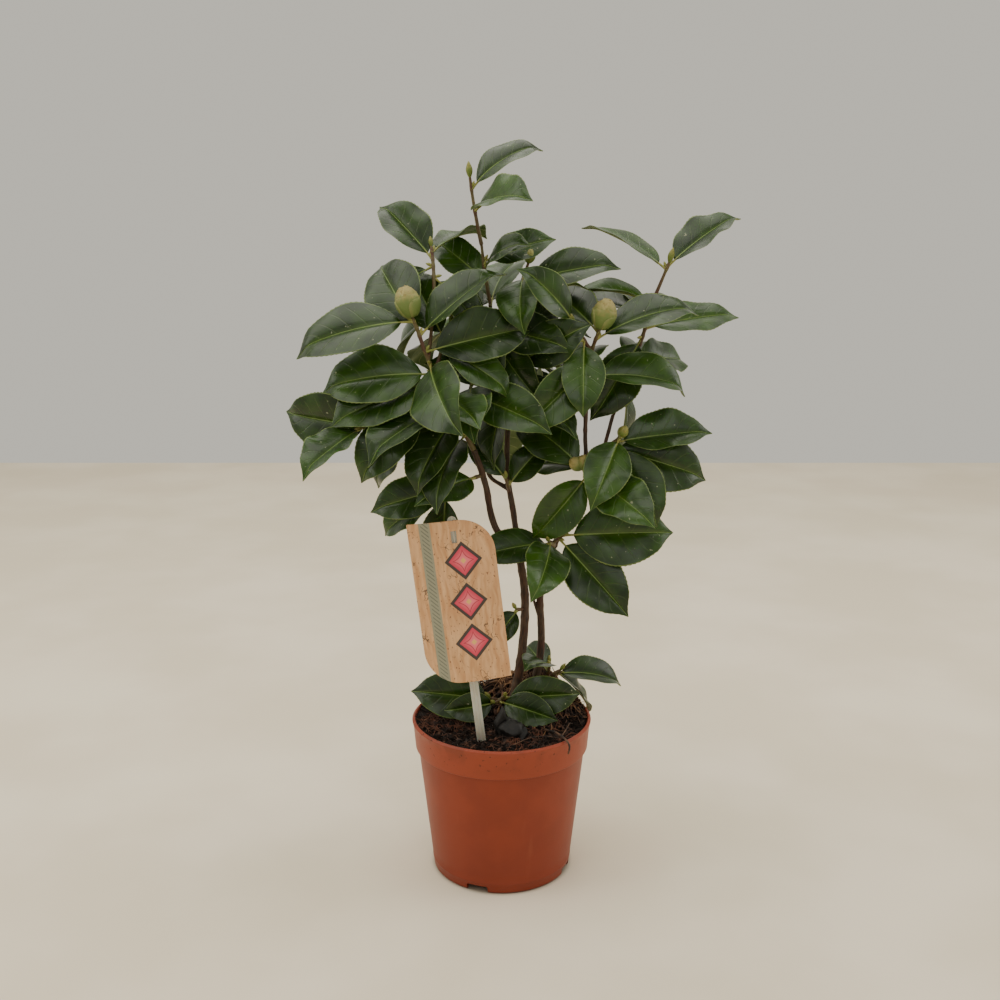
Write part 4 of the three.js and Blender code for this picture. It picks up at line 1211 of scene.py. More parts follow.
# %% Stems and boughs
Limb = namedtuple("Limb", "radii path")
LIMBS = {
    "stem_left": Limb((4.4, 3.5), [(11, 14, 153), (20, 12, 216), (22, 10, 264), (17, 8, 305)]),
    "stem_right": Limb((3.9, 3.0), [(31, 22, 163), (38, 20, 214), (37, 17, 269), (49, 14, 314)]),
    "bough_left": Limb((3.3, 2.7), [(17, 8, 305), (-6, 2, 335), (-15, -6, 378), (-25, -14, 410)]),
    "bough_centre": Limb((3.0, 2.4), [(17, 8, 305), (11, 14, 345), (5, 20, 385), (6, 26, 431)]),
    "bough_right": Limb((2.6, 2.2), [(49, 14, 314), (66, 10, 351), (83, 8, 380)]),
    "bough_right_up": Limb((2.1, 1.9), [(83, 8, 380), (77, 6, 402), (76, 5, 434), (78, 4, 467)]),
    "bough_right_back": Limb((2.0, 1.7), [(83, 8, 380), (93, 18, 402), (103, 28, 435)]),
    "bough_back": Limb((2.0, 1.7), [(7, 17, 367), (-12, 24, 380), (-16, 34, 410)]),
    "thin_twig": Limb((1.4, 1.0), [(37, 19, 238), (32, 17, 254), (28, 16, 270)]),
}

# %% [markdown]
# From the boughs on, growth follows a rule. A shoot leaves its mother, bends towards
# one point and ends at another. The table says how many leaves it bears and which way
# the first of them point: how far clockwise from straight up, and how far towards the
# front. Every further leaf stands a golden angle round from the one before. Seeded
# random numbers add what differs from leaf to leaf: where on the shoot it stands, how
# far it strays, how long it is, and how far it bends, rolls and folds. The rule and its
# table are the solids' own, so every leaf here grows over a solid one.

# %% Shoots
Shoot = namedtuple("Shoot", "name mother at via tip bare leaf leaves ways bud", defaults=("",))
MASSES = {
    "crown_left": [
        Shoot("leader_low", "bough_left", 1, (-41, -22, 443), (-54, -28, 466), 0.12, 92,
              4, [(214, 35), (224, 30), (242, 40), (110, 60)]),
        Shoot("leader_mid", "leader_low", 1, (-60, -31, 483), (-67, -33, 501), 0.05, 104,
              4, [(242, 20), (266, 5), (150, 60), (70, -20)]),
        Shoot("leader_tip", "leader_mid", 1, (-71, -34, 516), (-77, -34, 530), 0.2, 100,
              3, [(48, -5), (330, -30), (262, 5)], "flower"),
        Shoot("leader_in", "leader_low", 0.4, (-30, -10, 459), (-23, 2, 478), 0.4, 86,
              3, [(110, 50), (225, 60), (20, -20)]),
        Shoot("leader_up", "leader_mid", 0.35, (-52, -22, 504), (-45, -14, 523), 0.4, 86,
              3, [(60, 20), (330, -20), (250, -55)]),
        Shoot("twig_in", "leader_low", 0.8, (-71, -32, 442), (-93, -38, 436), 0.35, 82,
              4, [(236, 30), (214, 20), (330, -30), (290, -55)]),
        Shoot("twig_out", "twig_in", 1, (-109, -42, 433), (-125, -44, 436), 0.45, 80,
              3, [(276, 0), (40, -10), (242, 50)]),
        Shoot("rear_left_low", "leader_mid", 0.75, (-61, -18, 517), (-59, -8, 542), 0.45, 88,
              2, [(28, -20), (270, -20)]),
        Shoot("rear_left_tip", "rear_left_low", 1, (-59, 2, 568), (-62, 8, 588), 0.3, 76,
              4, [(110, 30), (225, 25), (326, -25), (60, -30)]),
    ],
    "skirt_left": [
        Shoot("skirt_in", "bough_left", 0.74, (-26, -14, 384), (-36, -20, 382), 0.2, 86,
              2, [(212, 55), (255, 0)]),
        Shoot("skirt_out", "skirt_in", 1, (-46, -22, 377), (-57, -22, 369), 0.2, 82,
              3, [(232, 15), (196, 10), (290, -10)]),
    ],
    "crown_top": [
        Shoot("top_low", "bough_centre", 1, (3, 27, 454), (-1, 27, 481), 0.2, 90,
              3, [(320, 20), (100, 45), (230, 40)]),
        Shoot("top_mid", "top_low", 1, (-7, 26, 513), (-11, 26, 540), 0.2, 88,
              4, [(195, 50), (78, 30), (270, 20), (20, -40)]),
        Shoot("top_left", "top_mid", 0.5, (-21, 14, 523), (-33, 4, 534), 0.4, 80,
              1, [(200, 60)]),
        Shoot("top_front", "top_low", 0.45, (11, 12, 474), (18, 0, 496), 0.35, 88,
              3, [(225, 30), (120, 60), (10, 0)]),
        Shoot("top_high", "top_mid", 1, (-15, 25, 562), (-18, 24, 589), 0.3, 72,
              4, [(325, -20), (338, -10), (67, 10), (180, -55)]),
        Shoot("top_tip", "top_high", 1, (-24, 22, 616), (-28, 20, 647), 0.1, 74,
              2, [(60, 62), (50, 0)], "leaf"),
        Shoot("side_low", "top_low", 1, (6, 24, 511), (13, 21, 540), 0.25, 92,
              2, [(219, 45), (120, 50)]),
        Shoot("side_tip", "side_low", 1, (18, 19, 556), (24, 17, 574), 0.1, 86,
              2, [(94, 5), (222, 15)], "flower_green"),
    ],
    "crown_right": [
        Shoot("right_low", "bough_right_up", 1, (78, 3, 481), (80, 2, 496), 0.05, 92,
              2, [(84, 5), (226, 20)]),
        Shoot("right_tip", "right_low", 1, (83, -1, 507), (87, -5, 518), 0.1, 98,
              2, [(66, -5), (345, -40)], "flower"),
        Shoot("right_fork", "right_low", 1, (72, -2, 508), (63, -8, 523), 0.4, 88,
              3, [(232, 25), (250, 5), (338, -25)]),
        Shoot("right_side", "right_low", 0.1, (66, -4, 475), (53, -10, 481), 0.4, 84,
              2, [(180, 45), (60, -50)]),
    ],
    "crown_rear": [
        Shoot("rear_low", "bough_right_back", 1, (118, 34, 467), (127, 38, 498), 0.15, 80,
              4, [(300, -30), (212, 10), (30, -70), (130, -65)]),
        Shoot("rear_mid", "rear_low", 1, (133, 40, 516), (138, 42, 537), 0.2, 86,
              5, [(215, 20), (76, -5), (300, -30), (5, -70), (240, -50)]),
        Shoot("rear_tip", "rear_mid", 1, (145, 41, 554), (152, 39, 573), 0.75, 90,
              2, [(312, -25), (52, -18)], "leaf"),
    ],
    "middle_right": [
        Shoot("mid_front", "bough_right", 1, (77, -3, 386), (72, -12, 394), 0.2, 88,
              4, [(223, 25), (128, 50), (305, 0), (345, -10)], "flower_small"),
    ],
    "outer_right": [
        Shoot("mid_side", "bough_right_back", 0.5, (101, 13, 410), (108, 6, 419), 0.2, 90,
              4, [(98, 5), (150, 25), (58, -10), (210, 50)], "flower_green"),
    ],
    "lower_right": [
        Shoot("spur_left", "stem_right", 1, (46, 2, 320), (43, -8, 324), 0.25, 86,
              2, [(272, 8), (225, 68)]),
        Shoot("spur_right", "spur_left", 0.3, (52, 0, 325), (58, -8, 331), 0.2, 92,
              2, [(124, 22), (78, 15)]),
    ],
    "base_left": [
        Shoot("base_stem_left", (3, 14, 149), 0, (2, 12, 156), (0, 9, 163), 1, 86,
              0, []),
        Shoot("base_west", "base_stem_left", 1, (-4, 5, 162), (-11, 2, 167), 0.2, 80,
              1, [(274, 5)]),
        Shoot("base_low", "base_stem_left", 0.8, (-3, 2, 163), (-7, -6, 165), 0.2, 62,
              2, [(108, 40), (242, 56)]),
        Shoot("base_east", "base_stem_left", 1, (2, 3, 167), (3, -4, 171), 0.2, 80,
              1, [(88, 15)]),
    ],
    "base_right": [
        Shoot("base_stem_right", (43, 24, 164), 0, (43, 25, 171), (43, 26, 177), 1, 86,
              0, []),
        Shoot("base_up", "base_stem_right", 1, (47, 22, 187), (46, 19, 196), 0.3, 62,
              2, [(335, -5), (250, 30)]),
        Shoot("base_far", "base_stem_right", 1, (52, 27, 182), (57, 26, 186), 0.3, 78,
              2, [(82, -5), (110, 10)]),
    ],
    "stem_spur": [
        Shoot("stem_spur", "stem_left", 0.6, (17, 6, 252), (13, 0, 257), 0.3, 48,
              1, [(236, 40)]),
    ],
    "fork_spur": [
        Shoot("fork_spur", "bough_centre", 0.5, (5, 8, 374), (4, 2, 381), 0.2, 60,
              2, [(36, 0), (345, -30)]),
    ],
    "crown_back": [
        Shoot("back_low", "bough_back", 1, (-18, 44, 437), (-20, 54, 464), 0.15, 88,
              5, [(270, -40), (60, -50), (180, -50)]),
        Shoot("back_top", "back_low", 1, (-24, 60, 496), (-26, 62, 529), 0.2, 84,
              6, [(300, -50), (80, -40), (200, -60), (340, -40)]),
        Shoot("back_side", "back_low", 0.45, (8, 66, 453), (32, 82, 487), 0.3, 86,
              6, [(90, -30), (200, -50), (20, -40), (270, -60)]),
    ],
}
shoots = {shoot.name: (mass, shoot) for mass, rows in MASSES.items() for shoot in rows}
print("masses:", len(MASSES), "shoots:", len(shoots))

# %% [markdown]
# The random numbers have to be the very ones that the solids used, so they come from
# a small generator that gives the same numbers in any language.

# %% The rule that a leaf follows
GOLDEN_ANGLE = math.radians(137.5)
SEEDS_PER_SHOOT = 10
TRIES = 40
STRAY_GROWTH = 0.25
SHRINK = 0.006
PLACE_RANGE = (0.1, 0.95)
STRAY_RANGE = (-9, 9)
LENGTH_RANGE = (0.92, 1.14)
WIDTH_RANGE = (0.90, 1.12)
BEND_RANGE = (10, 52)
ROLL_RANGE = (-28, 28)
FOLD_RANGE = (6, 24)
STALK_SHARE = 0.10
LEAF_WIDTH_SHARE = 0.56
LEAF_BROADEST = 0.88
LEAF_FULLNESS = 0.80
LEAF_TAPER = 0.10
CROWN_AXIS = (22, 14)
LIGHT = (0, -0.55, 0.50)
ALONG_SHOOT = 0.40
AWAY_FROM_CROWN = 0.35
SHORTEST_FACE = 0.15
WORD = 0xFFFFFFFF


def seeded(seed):
    """Random numbers from 0 to 1 that a seed fixes."""
    state = seed

    def draw():
        nonlocal state
        state = (state + 0x6D2B79F5) & WORD
        mixed = ((state ^ (state >> 15)) * (state | 1)) & WORD
        mixed ^= (mixed + ((mixed ^ (mixed >> 7)) * (mixed | 61) & WORD)) & WORD
        return (mixed ^ (mixed >> 14)) / (WORD + 1)
    return draw


def curve_point(bends, t):
    a, b, c = bends
    return a * (1 - t) ** 2 + b * (2 * t * (1 - t)) + c * t * t


def curve_direction(bends, t):
    a, b, c = bends
    return unit((b - a) * (1 - t) + (c - b) * t)


bends_of = {}
for mass, shoot in shoots.values():
    if isinstance(shoot.mother, tuple):
        start = vec(shoot.mother)
    elif shoot.mother in LIMBS:
        start = limb_point(LIMBS[shoot.mother].path, shoot.at)
    else:
        start = curve_point(bends_of[shoot.mother], shoot.at)
    bends_of[shoot.name] = (start, vec(shoot.via), vec(shoot.tip))

Leaf = namedtuple("Leaf", "mass shoot root way upper across length width bend fold share along")


def heading(clock, near):
    """The way a leaf points: turned clockwise from straight up, and leaning to the front."""
    turn, lean = math.radians(clock), math.radians(near)
    level = math.cos(lean)
    return vec((level * math.sin(turn), -math.sin(lean), level * math.cos(turn)))


def swung(way, axis, angle):
    """A way swung round an axis."""
    sideways = np.cross(axis, way)
    along = axis * axis.dot(way)
    return along + (way - along) * math.cos(angle) + sideways * math.sin(angle)


def leaf_ways(shoot, bends):
    """The ways that the leaves of a shoot point: the given ones, and then a spiral."""
    ways = [heading(*way) for way in shoot.ways]
    while len(ways) < shoot.leaves:
        along = curve_direction(bends, len(ways) / shoot.leaves)
        ways.append(swung(ways[-1], along, GOLDEN_ANGLE))
    return ways


def draw_leaf(mass, shoot, rank, onward, tried, draw):
    """One try at a leaf: where it starts, how it points, and its sizes."""
    bends = bends_of[shoot.name]
    share = shoot.bare + (1 - shoot.bare) * (rank + between(PLACE_RANGE, draw())) / shoot.leaves
    straying = 1 + STRAY_GROWTH * tried
    around = math.radians(between(STRAY_RANGE, draw()) * straying)
    off = math.radians(between(STRAY_RANGE, draw()) * straying)
    length = shoot.leaf * between(LENGTH_RANGE, draw()) * (1 - SHRINK * tried)
    bend = math.radians(between(BEND_RANGE, draw()))
    roll = math.radians(between(ROLL_RANGE, draw()))
    fold = math.radians(between(FOLD_RANGE, draw()))
    width = length * LEAF_WIDTH_SHARE * between(WIDTH_RANGE, draw())

    root = curve_point(bends, share)
    along = curve_direction(bends, share)
    way = swung(swung(onward, unit(np.cross(along, onward)), off), along, around)
    away = unit(vec((root[0] - CROWN_AXIS[0], root[1] - CROWN_AXIS[1], 0)))
    face = vec(LIGHT) + along * ALONG_SHOOT + away * AWAY_FROM_CROWN
    face = face - way * face.dot(way)
    if np.linalg.norm(face) < SHORTEST_FACE:
        face = along - way * along.dot(way)
    face = unit(face)
    upper = face * math.cos(roll) + np.cross(way, face) * math.sin(roll)
    return Leaf(
        mass, shoot.name, root, way, upper, np.cross(way, upper), length, width, bend,
        fold, share, along,
    )


def leaf_station(leaf, share):
    """A point of a leaf's middle line at a share of its length, and the way its upper side faces."""
    angle = leaf.bend * max(0.0, share - STALK_SHARE)
    reach = min(share, STALK_SHARE) + math.sin(angle) / leaf.bend
    drop = (1 - math.cos(angle)) / leaf.bend
    point = leaf.root + leaf.way * (leaf.length * reach) - leaf.upper * (leaf.length * drop)
    return point, leaf.upper * math.cos(angle) + leaf.way * math.sin(angle)


# %% [markdown]
# A leaf that finds no room is drawn again, straying further each time and growing a
# little shorter, and a few find none at all. The solid model is the judge of which try
# it was: a leaf is grown here as soon as its mass has a corner at the leaf's tip.

# %% Keep the leaves that the solids have
TIP_TOLERANCE = 0.02


def corner_tree(node):
    corners = [v.co / MM for v in node.data.vertices]
    tree = kdtree.KDTree(len(corners))
    for i, corner in enumerate(corners):
        tree.insert(corner, i)
    tree.balance()
    return tree


corners = {mass: corner_tree(nodes[mass]) for mass in MASSES}
leaves = []
for number, (mass, shoot) in enumerate(shoots.values(), 1):
    for rank, onward in enumerate(leaf_ways(shoot, bends_of[shoot.name])):
        draw = seeded(SEEDS_PER_SHOOT * number + rank)
        for tried in range(TRIES):
            leaf = draw_leaf(mass, shoot, rank, onward, tried, draw)
            if corners[mass].find(Vector(leaf_station(leaf, 1)[0]))[2] < TIP_TOLERANCE:
                leaves.append(leaf)
                break
print("leaves grown:", len(leaves))

# %% [markdown]
# A camellia leaf is thick and stiff, widest just below its middle, with a drawn-out
# tip that curls back, fine blunt teeth along the margin and a sunken midrib that
# stands out below. Each leaf is a grid: rows at every notch and tip of a tooth, and
# columns from the midrib to the margin. The blade bulges between its side veins, and
# its margin waves a little. The underside is the same grid, half a millimetre lower,
# sewn to the upper side at the margin.

# %% The shape of a leaf
TEETH = 22
TOOTH_TIP = 0.7
TOOTH_REACH = 0.55
BLADE_THICKNESS = 0.5
COLUMN_SHARES = (0.22, 0.45, 0.68, 0.87, 0.968)
SIDE_VEINS = 7
VEIN_SLANT = 0.20
PINCH = (0.80, 0.50)
THINNEST_TIP = 0.12
RIPPLE = 0.020
TWIST = 16
RECURVE_START = 0.72
RIB_SINK = 0.32
VEIN_SINK = 0.20
KEEL = 0.4
KEEL_FLARE = 0.75
MEAN_LEAF = 90
leaf_rows = [0.0]
for tooth in range(TEETH):
    leaf_rows += [(tooth + TOOTH_TIP) / TEETH, (tooth + 1) / TEETH]


def blade_half_width(leaf, t):
    """Half the width of the blade, which ends in a drawn-out tip."""
    oval = math.sin(math.pi * min(1.0, t) ** LEAF_BROADEST) ** LEAF_FULLNESS if 0 < t < 1 else 0.0
    half_width = 0.5 * leaf.width * oval * (1 - LEAF_TAPER * t)
    half_width *= 1 - PINCH[1] * smooth_step(PINCH[0], 1.0, t)
    return max(half_width, 0.9 * (1 - t) + THINNEST_TIP)


Play = namedtuple("Play", "ripple phases waves twist recurve camber")


def blade_play(leaf, draw):
    """How much a blade ripples, twists, curls back at its tip and bulges, at random."""
    ripple = leaf.length * RIPPLE * (0.4 + draw())
    phases = (2 * math.pi * draw(), 2 * math.pi * draw())
    waves = 1.6 + 1.2 * draw()
    twist = math.radians(TWIST * (draw() - 0.5))
    recurve = leaf.length * (0.03 + 0.07 * draw())
    camber = 0.05 + 0.05 * draw()
    return Play(ripple, phases, waves, twist, recurve, camber)


def blade_lift(leaf, play, t, offset, half_width, phase):
    """How far a point of the blade rises over its midrib."""
    a = min(1.0, offset / half_width)
    lift = offset * math.sin(leaf.fold)
    lift += play.camber * half_width * math.sin(math.pi * a ** 0.8)
    lift += play.ripple * a * a * math.sin(2 * math.pi * play.waves * t + phase) * math.sin(math.pi * t)
    vein = math.cos(2 * math.pi * SIDE_VEINS * (t - VEIN_SLANT * a))
    return lift - VEIN_SINK * max(0.0, vein) ** 3 * 4 * a * (1 - a)


def blade_offsets(leaf, row, t, half_width):
    """Distances from the midrib at which a row of the blade has its points."""
    rib = min(0.22 + 0.62 * (1 - t) ** 2, 0.45 * half_width)
    tooth_out = 0
    if row % 2 == 1 and 0 < t < 1:
        tooth_out = TOOTH_REACH * leaf.length / MEAN_LEAF * math.sin(math.pi * t) ** 0.5
    return [rib] + [rib + (half_width - rib) * c for c in COLUMN_SHARES] + [half_width + tooth_out]


def blade_row(leaf, play, row, t):
    """One row from margin to margin: its points, their shares of the width, and up."""
    point, upper = leaf_station(leaf, STALK_SHARE + (1 - STALK_SHARE) * t)
    point = point - upper * play.recurve * smooth_step(RECURVE_START, 1.0, t) ** 2
    across = leaf.across * math.cos(play.twist * t) + upper * math.sin(play.twist * t)
    up = upper * math.cos(play.twist * t) - leaf.across * math.sin(play.twist * t)
    half_width = blade_half_width(leaf, t)
    halves = []
    for side, phase in zip((-1, 1), play.phases):
        half = []
        for offset in blade_offsets(leaf, row, t, half_width):
            lift = blade_lift(leaf, play, t, offset, half_width, phase)
            where = point + across * (side * offset * math.cos(leaf.fold)) + up * lift
            half.append((where, min(1.0, offset / half_width) * side))
        halves.append(half)
    return halves[0][::-1] + [(point - up * RIB_SINK, 0.0)] + halves[1], up


def blade(leaf, draw):
    """Points, faces, face finishes and UVs of one leaf's blade."""
    play = blade_play(leaf, draw)
    columns = 2 * (len(COLUMN_SHARES) + 2) + 1
    middle = columns // 2
    top, under, uv_top = [], [], []
    for row, t in enumerate(leaf_rows):
        points, up = blade_row(leaf, play, row, t)
        depths = {0: KEEL + KEEL_FLARE * (1 - 0.7 * t), 1: BLADE_THICKNESS + 0.12}
        for column, (where, a) in enumerate(points):
            top.append(where)
            uv_top.append((0.5 + 0.5 * a, t))
            under.append(where - up * depths.get(abs(column - middle), BLADE_THICKNESS))
    return assemble_blade(top, under, uv_top, columns, middle)


def assemble_blade(top, under, uv_top, columns, middle):
    """Sews the two sides of a blade together at the margin and at both ends."""
    rows = len(leaf_rows)
    points = list(top)
    uv = list(uv_top)
    index = np.zeros((rows, columns), int)
    for row in range(rows):
        for column in range(columns):
            at = row * columns + column
            if column in (0, columns - 1):
                index[row, column] = at
            else:
                index[row, column] = len(points)
                points.append(under[at])
                uv.append(uv_top[at])
    faces, finish = [], []
    for row in range(rows - 1):
        for column in range(columns - 1):
            a = row * columns + column
            b = a + columns
            from_rib = min(abs(column - middle), abs(column + 1 - middle))
            is_margin = column in (0, columns - 2)
            faces.append((a, a + 1, b + 1, b))
            finish.append(RIB if from_rib == 0 else MARGIN if is_margin else BLADE)
            faces.append((
                index[row, column], index[row + 1, column],
                index[row + 1, column + 1], index[row, column + 1],
            ))
            finish.append(UNDER_RIB if from_rib == 0 else UNDER)
    for row, forward in ((0, False), (rows - 1, True)):
        for column in range(columns - 1):
            a = row * columns + column
            loop = [a, a + 1, index[row, column + 1], index[row, column]]
            loop = list(dict.fromkeys(loop))
            faces.append(tuple(loop if forward else loop[::-1]))
            finish.append(UNDER_RIB)
    return points, faces, finish, uv


# %% [markdown]
# The stalk is a short green peg, thicker at its foot, that runs on into the keel of
# the midrib. A small pointed bud sits above it, in the fork with the shoot. Each leaf
# then gets one of three greens, dealt out by its own random numbers, and the parts of a
# leaf keep their own finishes: blade, midrib, margin, underside, and the rib below it.

# %% Grow the leaves
BLADE, RIB, MARGIN, UNDER, UNDER_RIB, STALK = range(6)
BLADE_GREENS = 3
AXIL_LENGTH = 6.5
AXIL_RADIUS = 1.5
AXIL_LEAN = 0.8
AXIL_START = 0.8
AXIL_SHARES = (0, 0.2, 0.4, 0.6, 0.8, 1)
AXIL_SIDES = 7
STALK_SIDES = 8
STALK_RADII = [(-0.012, 1.9), (0.012, 1.55), (0.04, 1.2), (0.08, 1.0), (0.13, 0.75), (0.19, 0.35)]


def stalk(leaf):
    """A tapering stalk from inside the shoot to under the foot of the blade."""
    path, radii = [], []
    for share, radius in STALK_RADII:
        point, upper = leaf_station(leaf, max(0.0, share))
        if share < 0:
            point = leaf.root + leaf.way * leaf.length * share
        path.append(point - upper * (0.45 if share > 0.1 else 0.3))
        radii.append(radius)
    return tube_mesh(path, radii, STALK_SIDES)


def axil_bud(leaf):
    """The small pointed bud that sits between a stalk and its shoot."""
    way = unit(leaf.along * AXIL_LEAN + leaf.way)
    foot = leaf.root + way * AXIL_START
    path = [foot + way * AXIL_LENGTH * t for t in AXIL_SHARES]
    radii = [AXIL_RADIUS * math.sin(math.pi * (0.12 + 0.82 * t)) for t in AXIL_SHARES]
    return tube_mesh(path, radii, AXIL_SIDES)


def grow(masses, name, finishes):
    """Every leaf of some masses, joined into one piece."""
    points, faces, choice, uv = [], [], [], []
    for number, leaf in enumerate(one for one in leaves if one.mass in masses):
        draw = seeded(int(leaf.length * 1000) + number)
        green = int(draw() * BLADE_GREENS)
        grown = [blade(leaf, draw)]
        for more, more_faces in (stalk(leaf), axil_bud(leaf)):
            grown.append((more, more_faces, [STALK] * len(more_faces), [(0.5, 0.0)] * len(more)))
        for more, more_faces, more_finish, more_uv in grown:
            first = len(points)
            points.extend(more)
            uv.extend(more_uv)
            faces.extend(tuple(first + i for i in face) for face in more_faces)
            choice.extend(green if f == BLADE else f + BLADE_GREENS - 1 for f in more_finish)
    return make_piece(name, points, faces, finishes, choice=choice, uv=uv)


# %% [markdown]
# The upper side is a dark green under a clear waxy skin, which throws back the sky in
# a broad grey sheen. Pale side veins show faintly through it, the green clouds from
# place to place, and dust and dried drops leave a few pale spots. The underside has
# no wax: it is yellower, paler and matt.

# %% Finishes of the leaves


def side_veins(graph):
    """1 on the side veins of a leaf and 0 between them, from the leaf's UV map."""
    u, v = on_uv(graph)
    across = (u - 0.5).abs() * 2.0
    wander = grain(graph, place(graph), 0.012, 1.0) * 0.03
    phase = (v - across * VEIN_SLANT + wander) * float(SIDE_VEINS)
    return (phase * (2 * math.pi)).cos().rise(0.90, 1.0) * across.rise(1.0, 0.6)


def by_rib(graph):
    """1 at the midrib of a leaf, fading out to 0 a little way into the blade."""
    across = on_uv(graph)[0]
    return (across - 0.5).abs().rise(0.09, 0.0)


def blade_recipe(deep, bright):
    def recipe(graph):
        here = place(graph)
        veins = side_veins(graph)
        cloud = grain(graph, here, 0.018, 3.0)
        pores = grain(graph, here, 0.0009, 2.0)
        colour = graph.mix(cloud.rise(0.3, 0.72), deep, bright)
        colour = graph.mix(veins * 0.09, colour, srgb(112, 132, 60))
        colour = graph.mix(by_rib(graph) * 0.25, colour, srgb(92, 120, 44))
        dust = grain(graph, here, 0.0034, 1.0).rise(0.755, 0.775)
        colour = graph.mix(dust * 0.5, colour, srgb(170, 172, 140))
        film = grain(graph, here, 0.03, 4.0).rise(0.45, 0.75)
        roughness = 0.28 + film * 0.18 + dust * 0.2
        relief = pores * 0.25 + cloud * 1.5 - veins * 0.8
        return {"Base Color": colour, "Roughness": roughness, "Height": relief}
    return recipe


def plain_recipe(first, second):
    def recipe(graph):
        patch = grain(graph, place(graph), 0.01, 2.0)
        return {"Base Color": graph.mix(patch.rise(0.3, 0.7), first, second), "Height": patch}
    return recipe


def under_recipe(graph):
    veins = side_veins(graph)
    cloud = grain(graph, place(graph), 0.014, 3.0)
    colour = graph.mix(cloud.rise(0.3, 0.7), srgb(78, 100, 48), srgb(104, 122, 68))
    colour = graph.mix(veins * 0.35, colour, srgb(168, 174, 116))
    return {"Base Color": colour, "Height": cloud * 0.4 + veins}


WAX = {
    "Coat_Weight": 0.11, "Coat_Roughness": 0.20, "Specular_IOR_Level": 0.33,
    "Subsurface_Weight": 0.12, "Subsurface_Radius": (0.5, 1.0, 0.15), "Subsurface_Scale": 0.0015,
}
leaf_finishes = [
    paint("leaf_deep", blade_recipe(srgb(20, 39, 5), srgb(38, 62, 12)), bump=0.00022, **WAX),
    paint("leaf_middle", blade_recipe(srgb(26, 47, 7), srgb(45, 73, 15)), bump=0.00022, **WAX),
    paint("leaf_fresh", blade_recipe(srgb(31, 56, 8), srgb(52, 82, 18)), bump=0.00022, **WAX),
    paint("leaf_rib", plain_recipe(srgb(98, 122, 50), srgb(116, 138, 64)), Roughness=0.4),
    # the margin's paler green is partly the leaf's own paler edge and partly a painted rim light
    paint("leaf_margin", plain_recipe(srgb(78, 98, 38), srgb(108, 124, 60)), Roughness=0.45),
    paint("leaf_under", under_recipe, bump=0.0002, Roughness=0.6),
    paint("leaf_under_rib", plain_recipe(srgb(150, 158, 92), srgb(168, 174, 110)), Roughness=0.55),
    paint("leaf_stalk", plain_recipe(srgb(118, 126, 52), srgb(142, 138, 70)), Roughness=0.5),
]
LEAF_PIECES = {
    "leaves_left": ("crown_left", "skirt_left", "base_left", "stem_spur"),
    "leaves_top": ("crown_top", "crown_back", "fork_spur"),
    "leaves_right": (
        "crown_right", "crown_rear", "middle_right", "outer_right", "lower_right", "base_right",
    ),
}
for name, masses in LEAF_PIECES.items():
    seat(grow(masses, name, leaf_finishes), "foliage", *masses)

# %% [markdown]
# Bark comes next. On a camellia this young it is thin and red-brown, with fine
# lengthwise cracks, a swelling wherever a leaf once stood, and smooth forks where one
# limb grew out of another. Tubes alone would show a seam at each fork, so the tubes
# are sunk into each other and remade as one skin by a voxel remesh, which also rounds
# the crotches. Relief is then pressed into that skin, along each limb.

# %% One skin of bark over the stems and boughs
BARK_VOXEL = 0.00055
BARK_SIDES = 18
BARK_DEPTH = 0.24
SPAN_SAMPLES = 14
SCAR_STEP = 23
SCAR_SWELLING = 0.10
COLLAR_SWELLING = 0.35
COLLAR_REACH = 4
ROOT_FLARE = 0.55
ROOT_FLARE_HEIGHT = 9
CREASE_SLANT = 0.7
Sample = namedtuple("Sample", "point gone along")
samples = []


def limb_tube(name, limb):
    """Path and radii of a limb, with a flared foot and swellings at old leaf scars."""
    steps = SPAN_SAMPLES * (len(limb.path) - 1)
    path = [limb_point(limb.path, i / steps) for i in range(steps + 1)]
    radii = []
    gone = 0.0
    for i, point in enumerate(path):
        share = i / steps
        gone += np.linalg.norm(point - path[i - 1]) if i else 0.0
        flare = ROOT_FLARE * math.exp(-(point[2] - path[0][2]) / ROOT_FLARE_HEIGHT)
        collar = COLLAR_SWELLING * math.exp(-gone / COLLAR_REACH)
        swelling = SCAR_SWELLING * max(0.0, math.cos(2 * math.pi * gone / SCAR_STEP)) ** 8
        extra = flare if name.startswith("stem") else collar
        radii.append(between(limb.radii, share) * (1 + extra + swelling))
        along = unit(path[min(i + 1, steps)] - path[max(i - 1, 0)])
        samples.append(Sample(point, gone, along))
    return path, radii


def skin_over(name, tubes, sides, voxel, finish):
    """Joins tubes into one closed skin."""
    piece = tubes_piece(name + "_tubes", tubes, sides, [])
    remesh = piece.modifiers.new("skin", "REMESH")
    remesh.mode = "VOXEL"
    remesh.voxel_size = voxel
    even = piece.modifiers.new("even", "SMOOTH")
    even.factor = 0.5
    even.iterations = 3
    piece = baked(piece, name)
    piece.data.materials.clear()
    piece.data.materials.append(finish)
    shade(piece.data)
    return piece


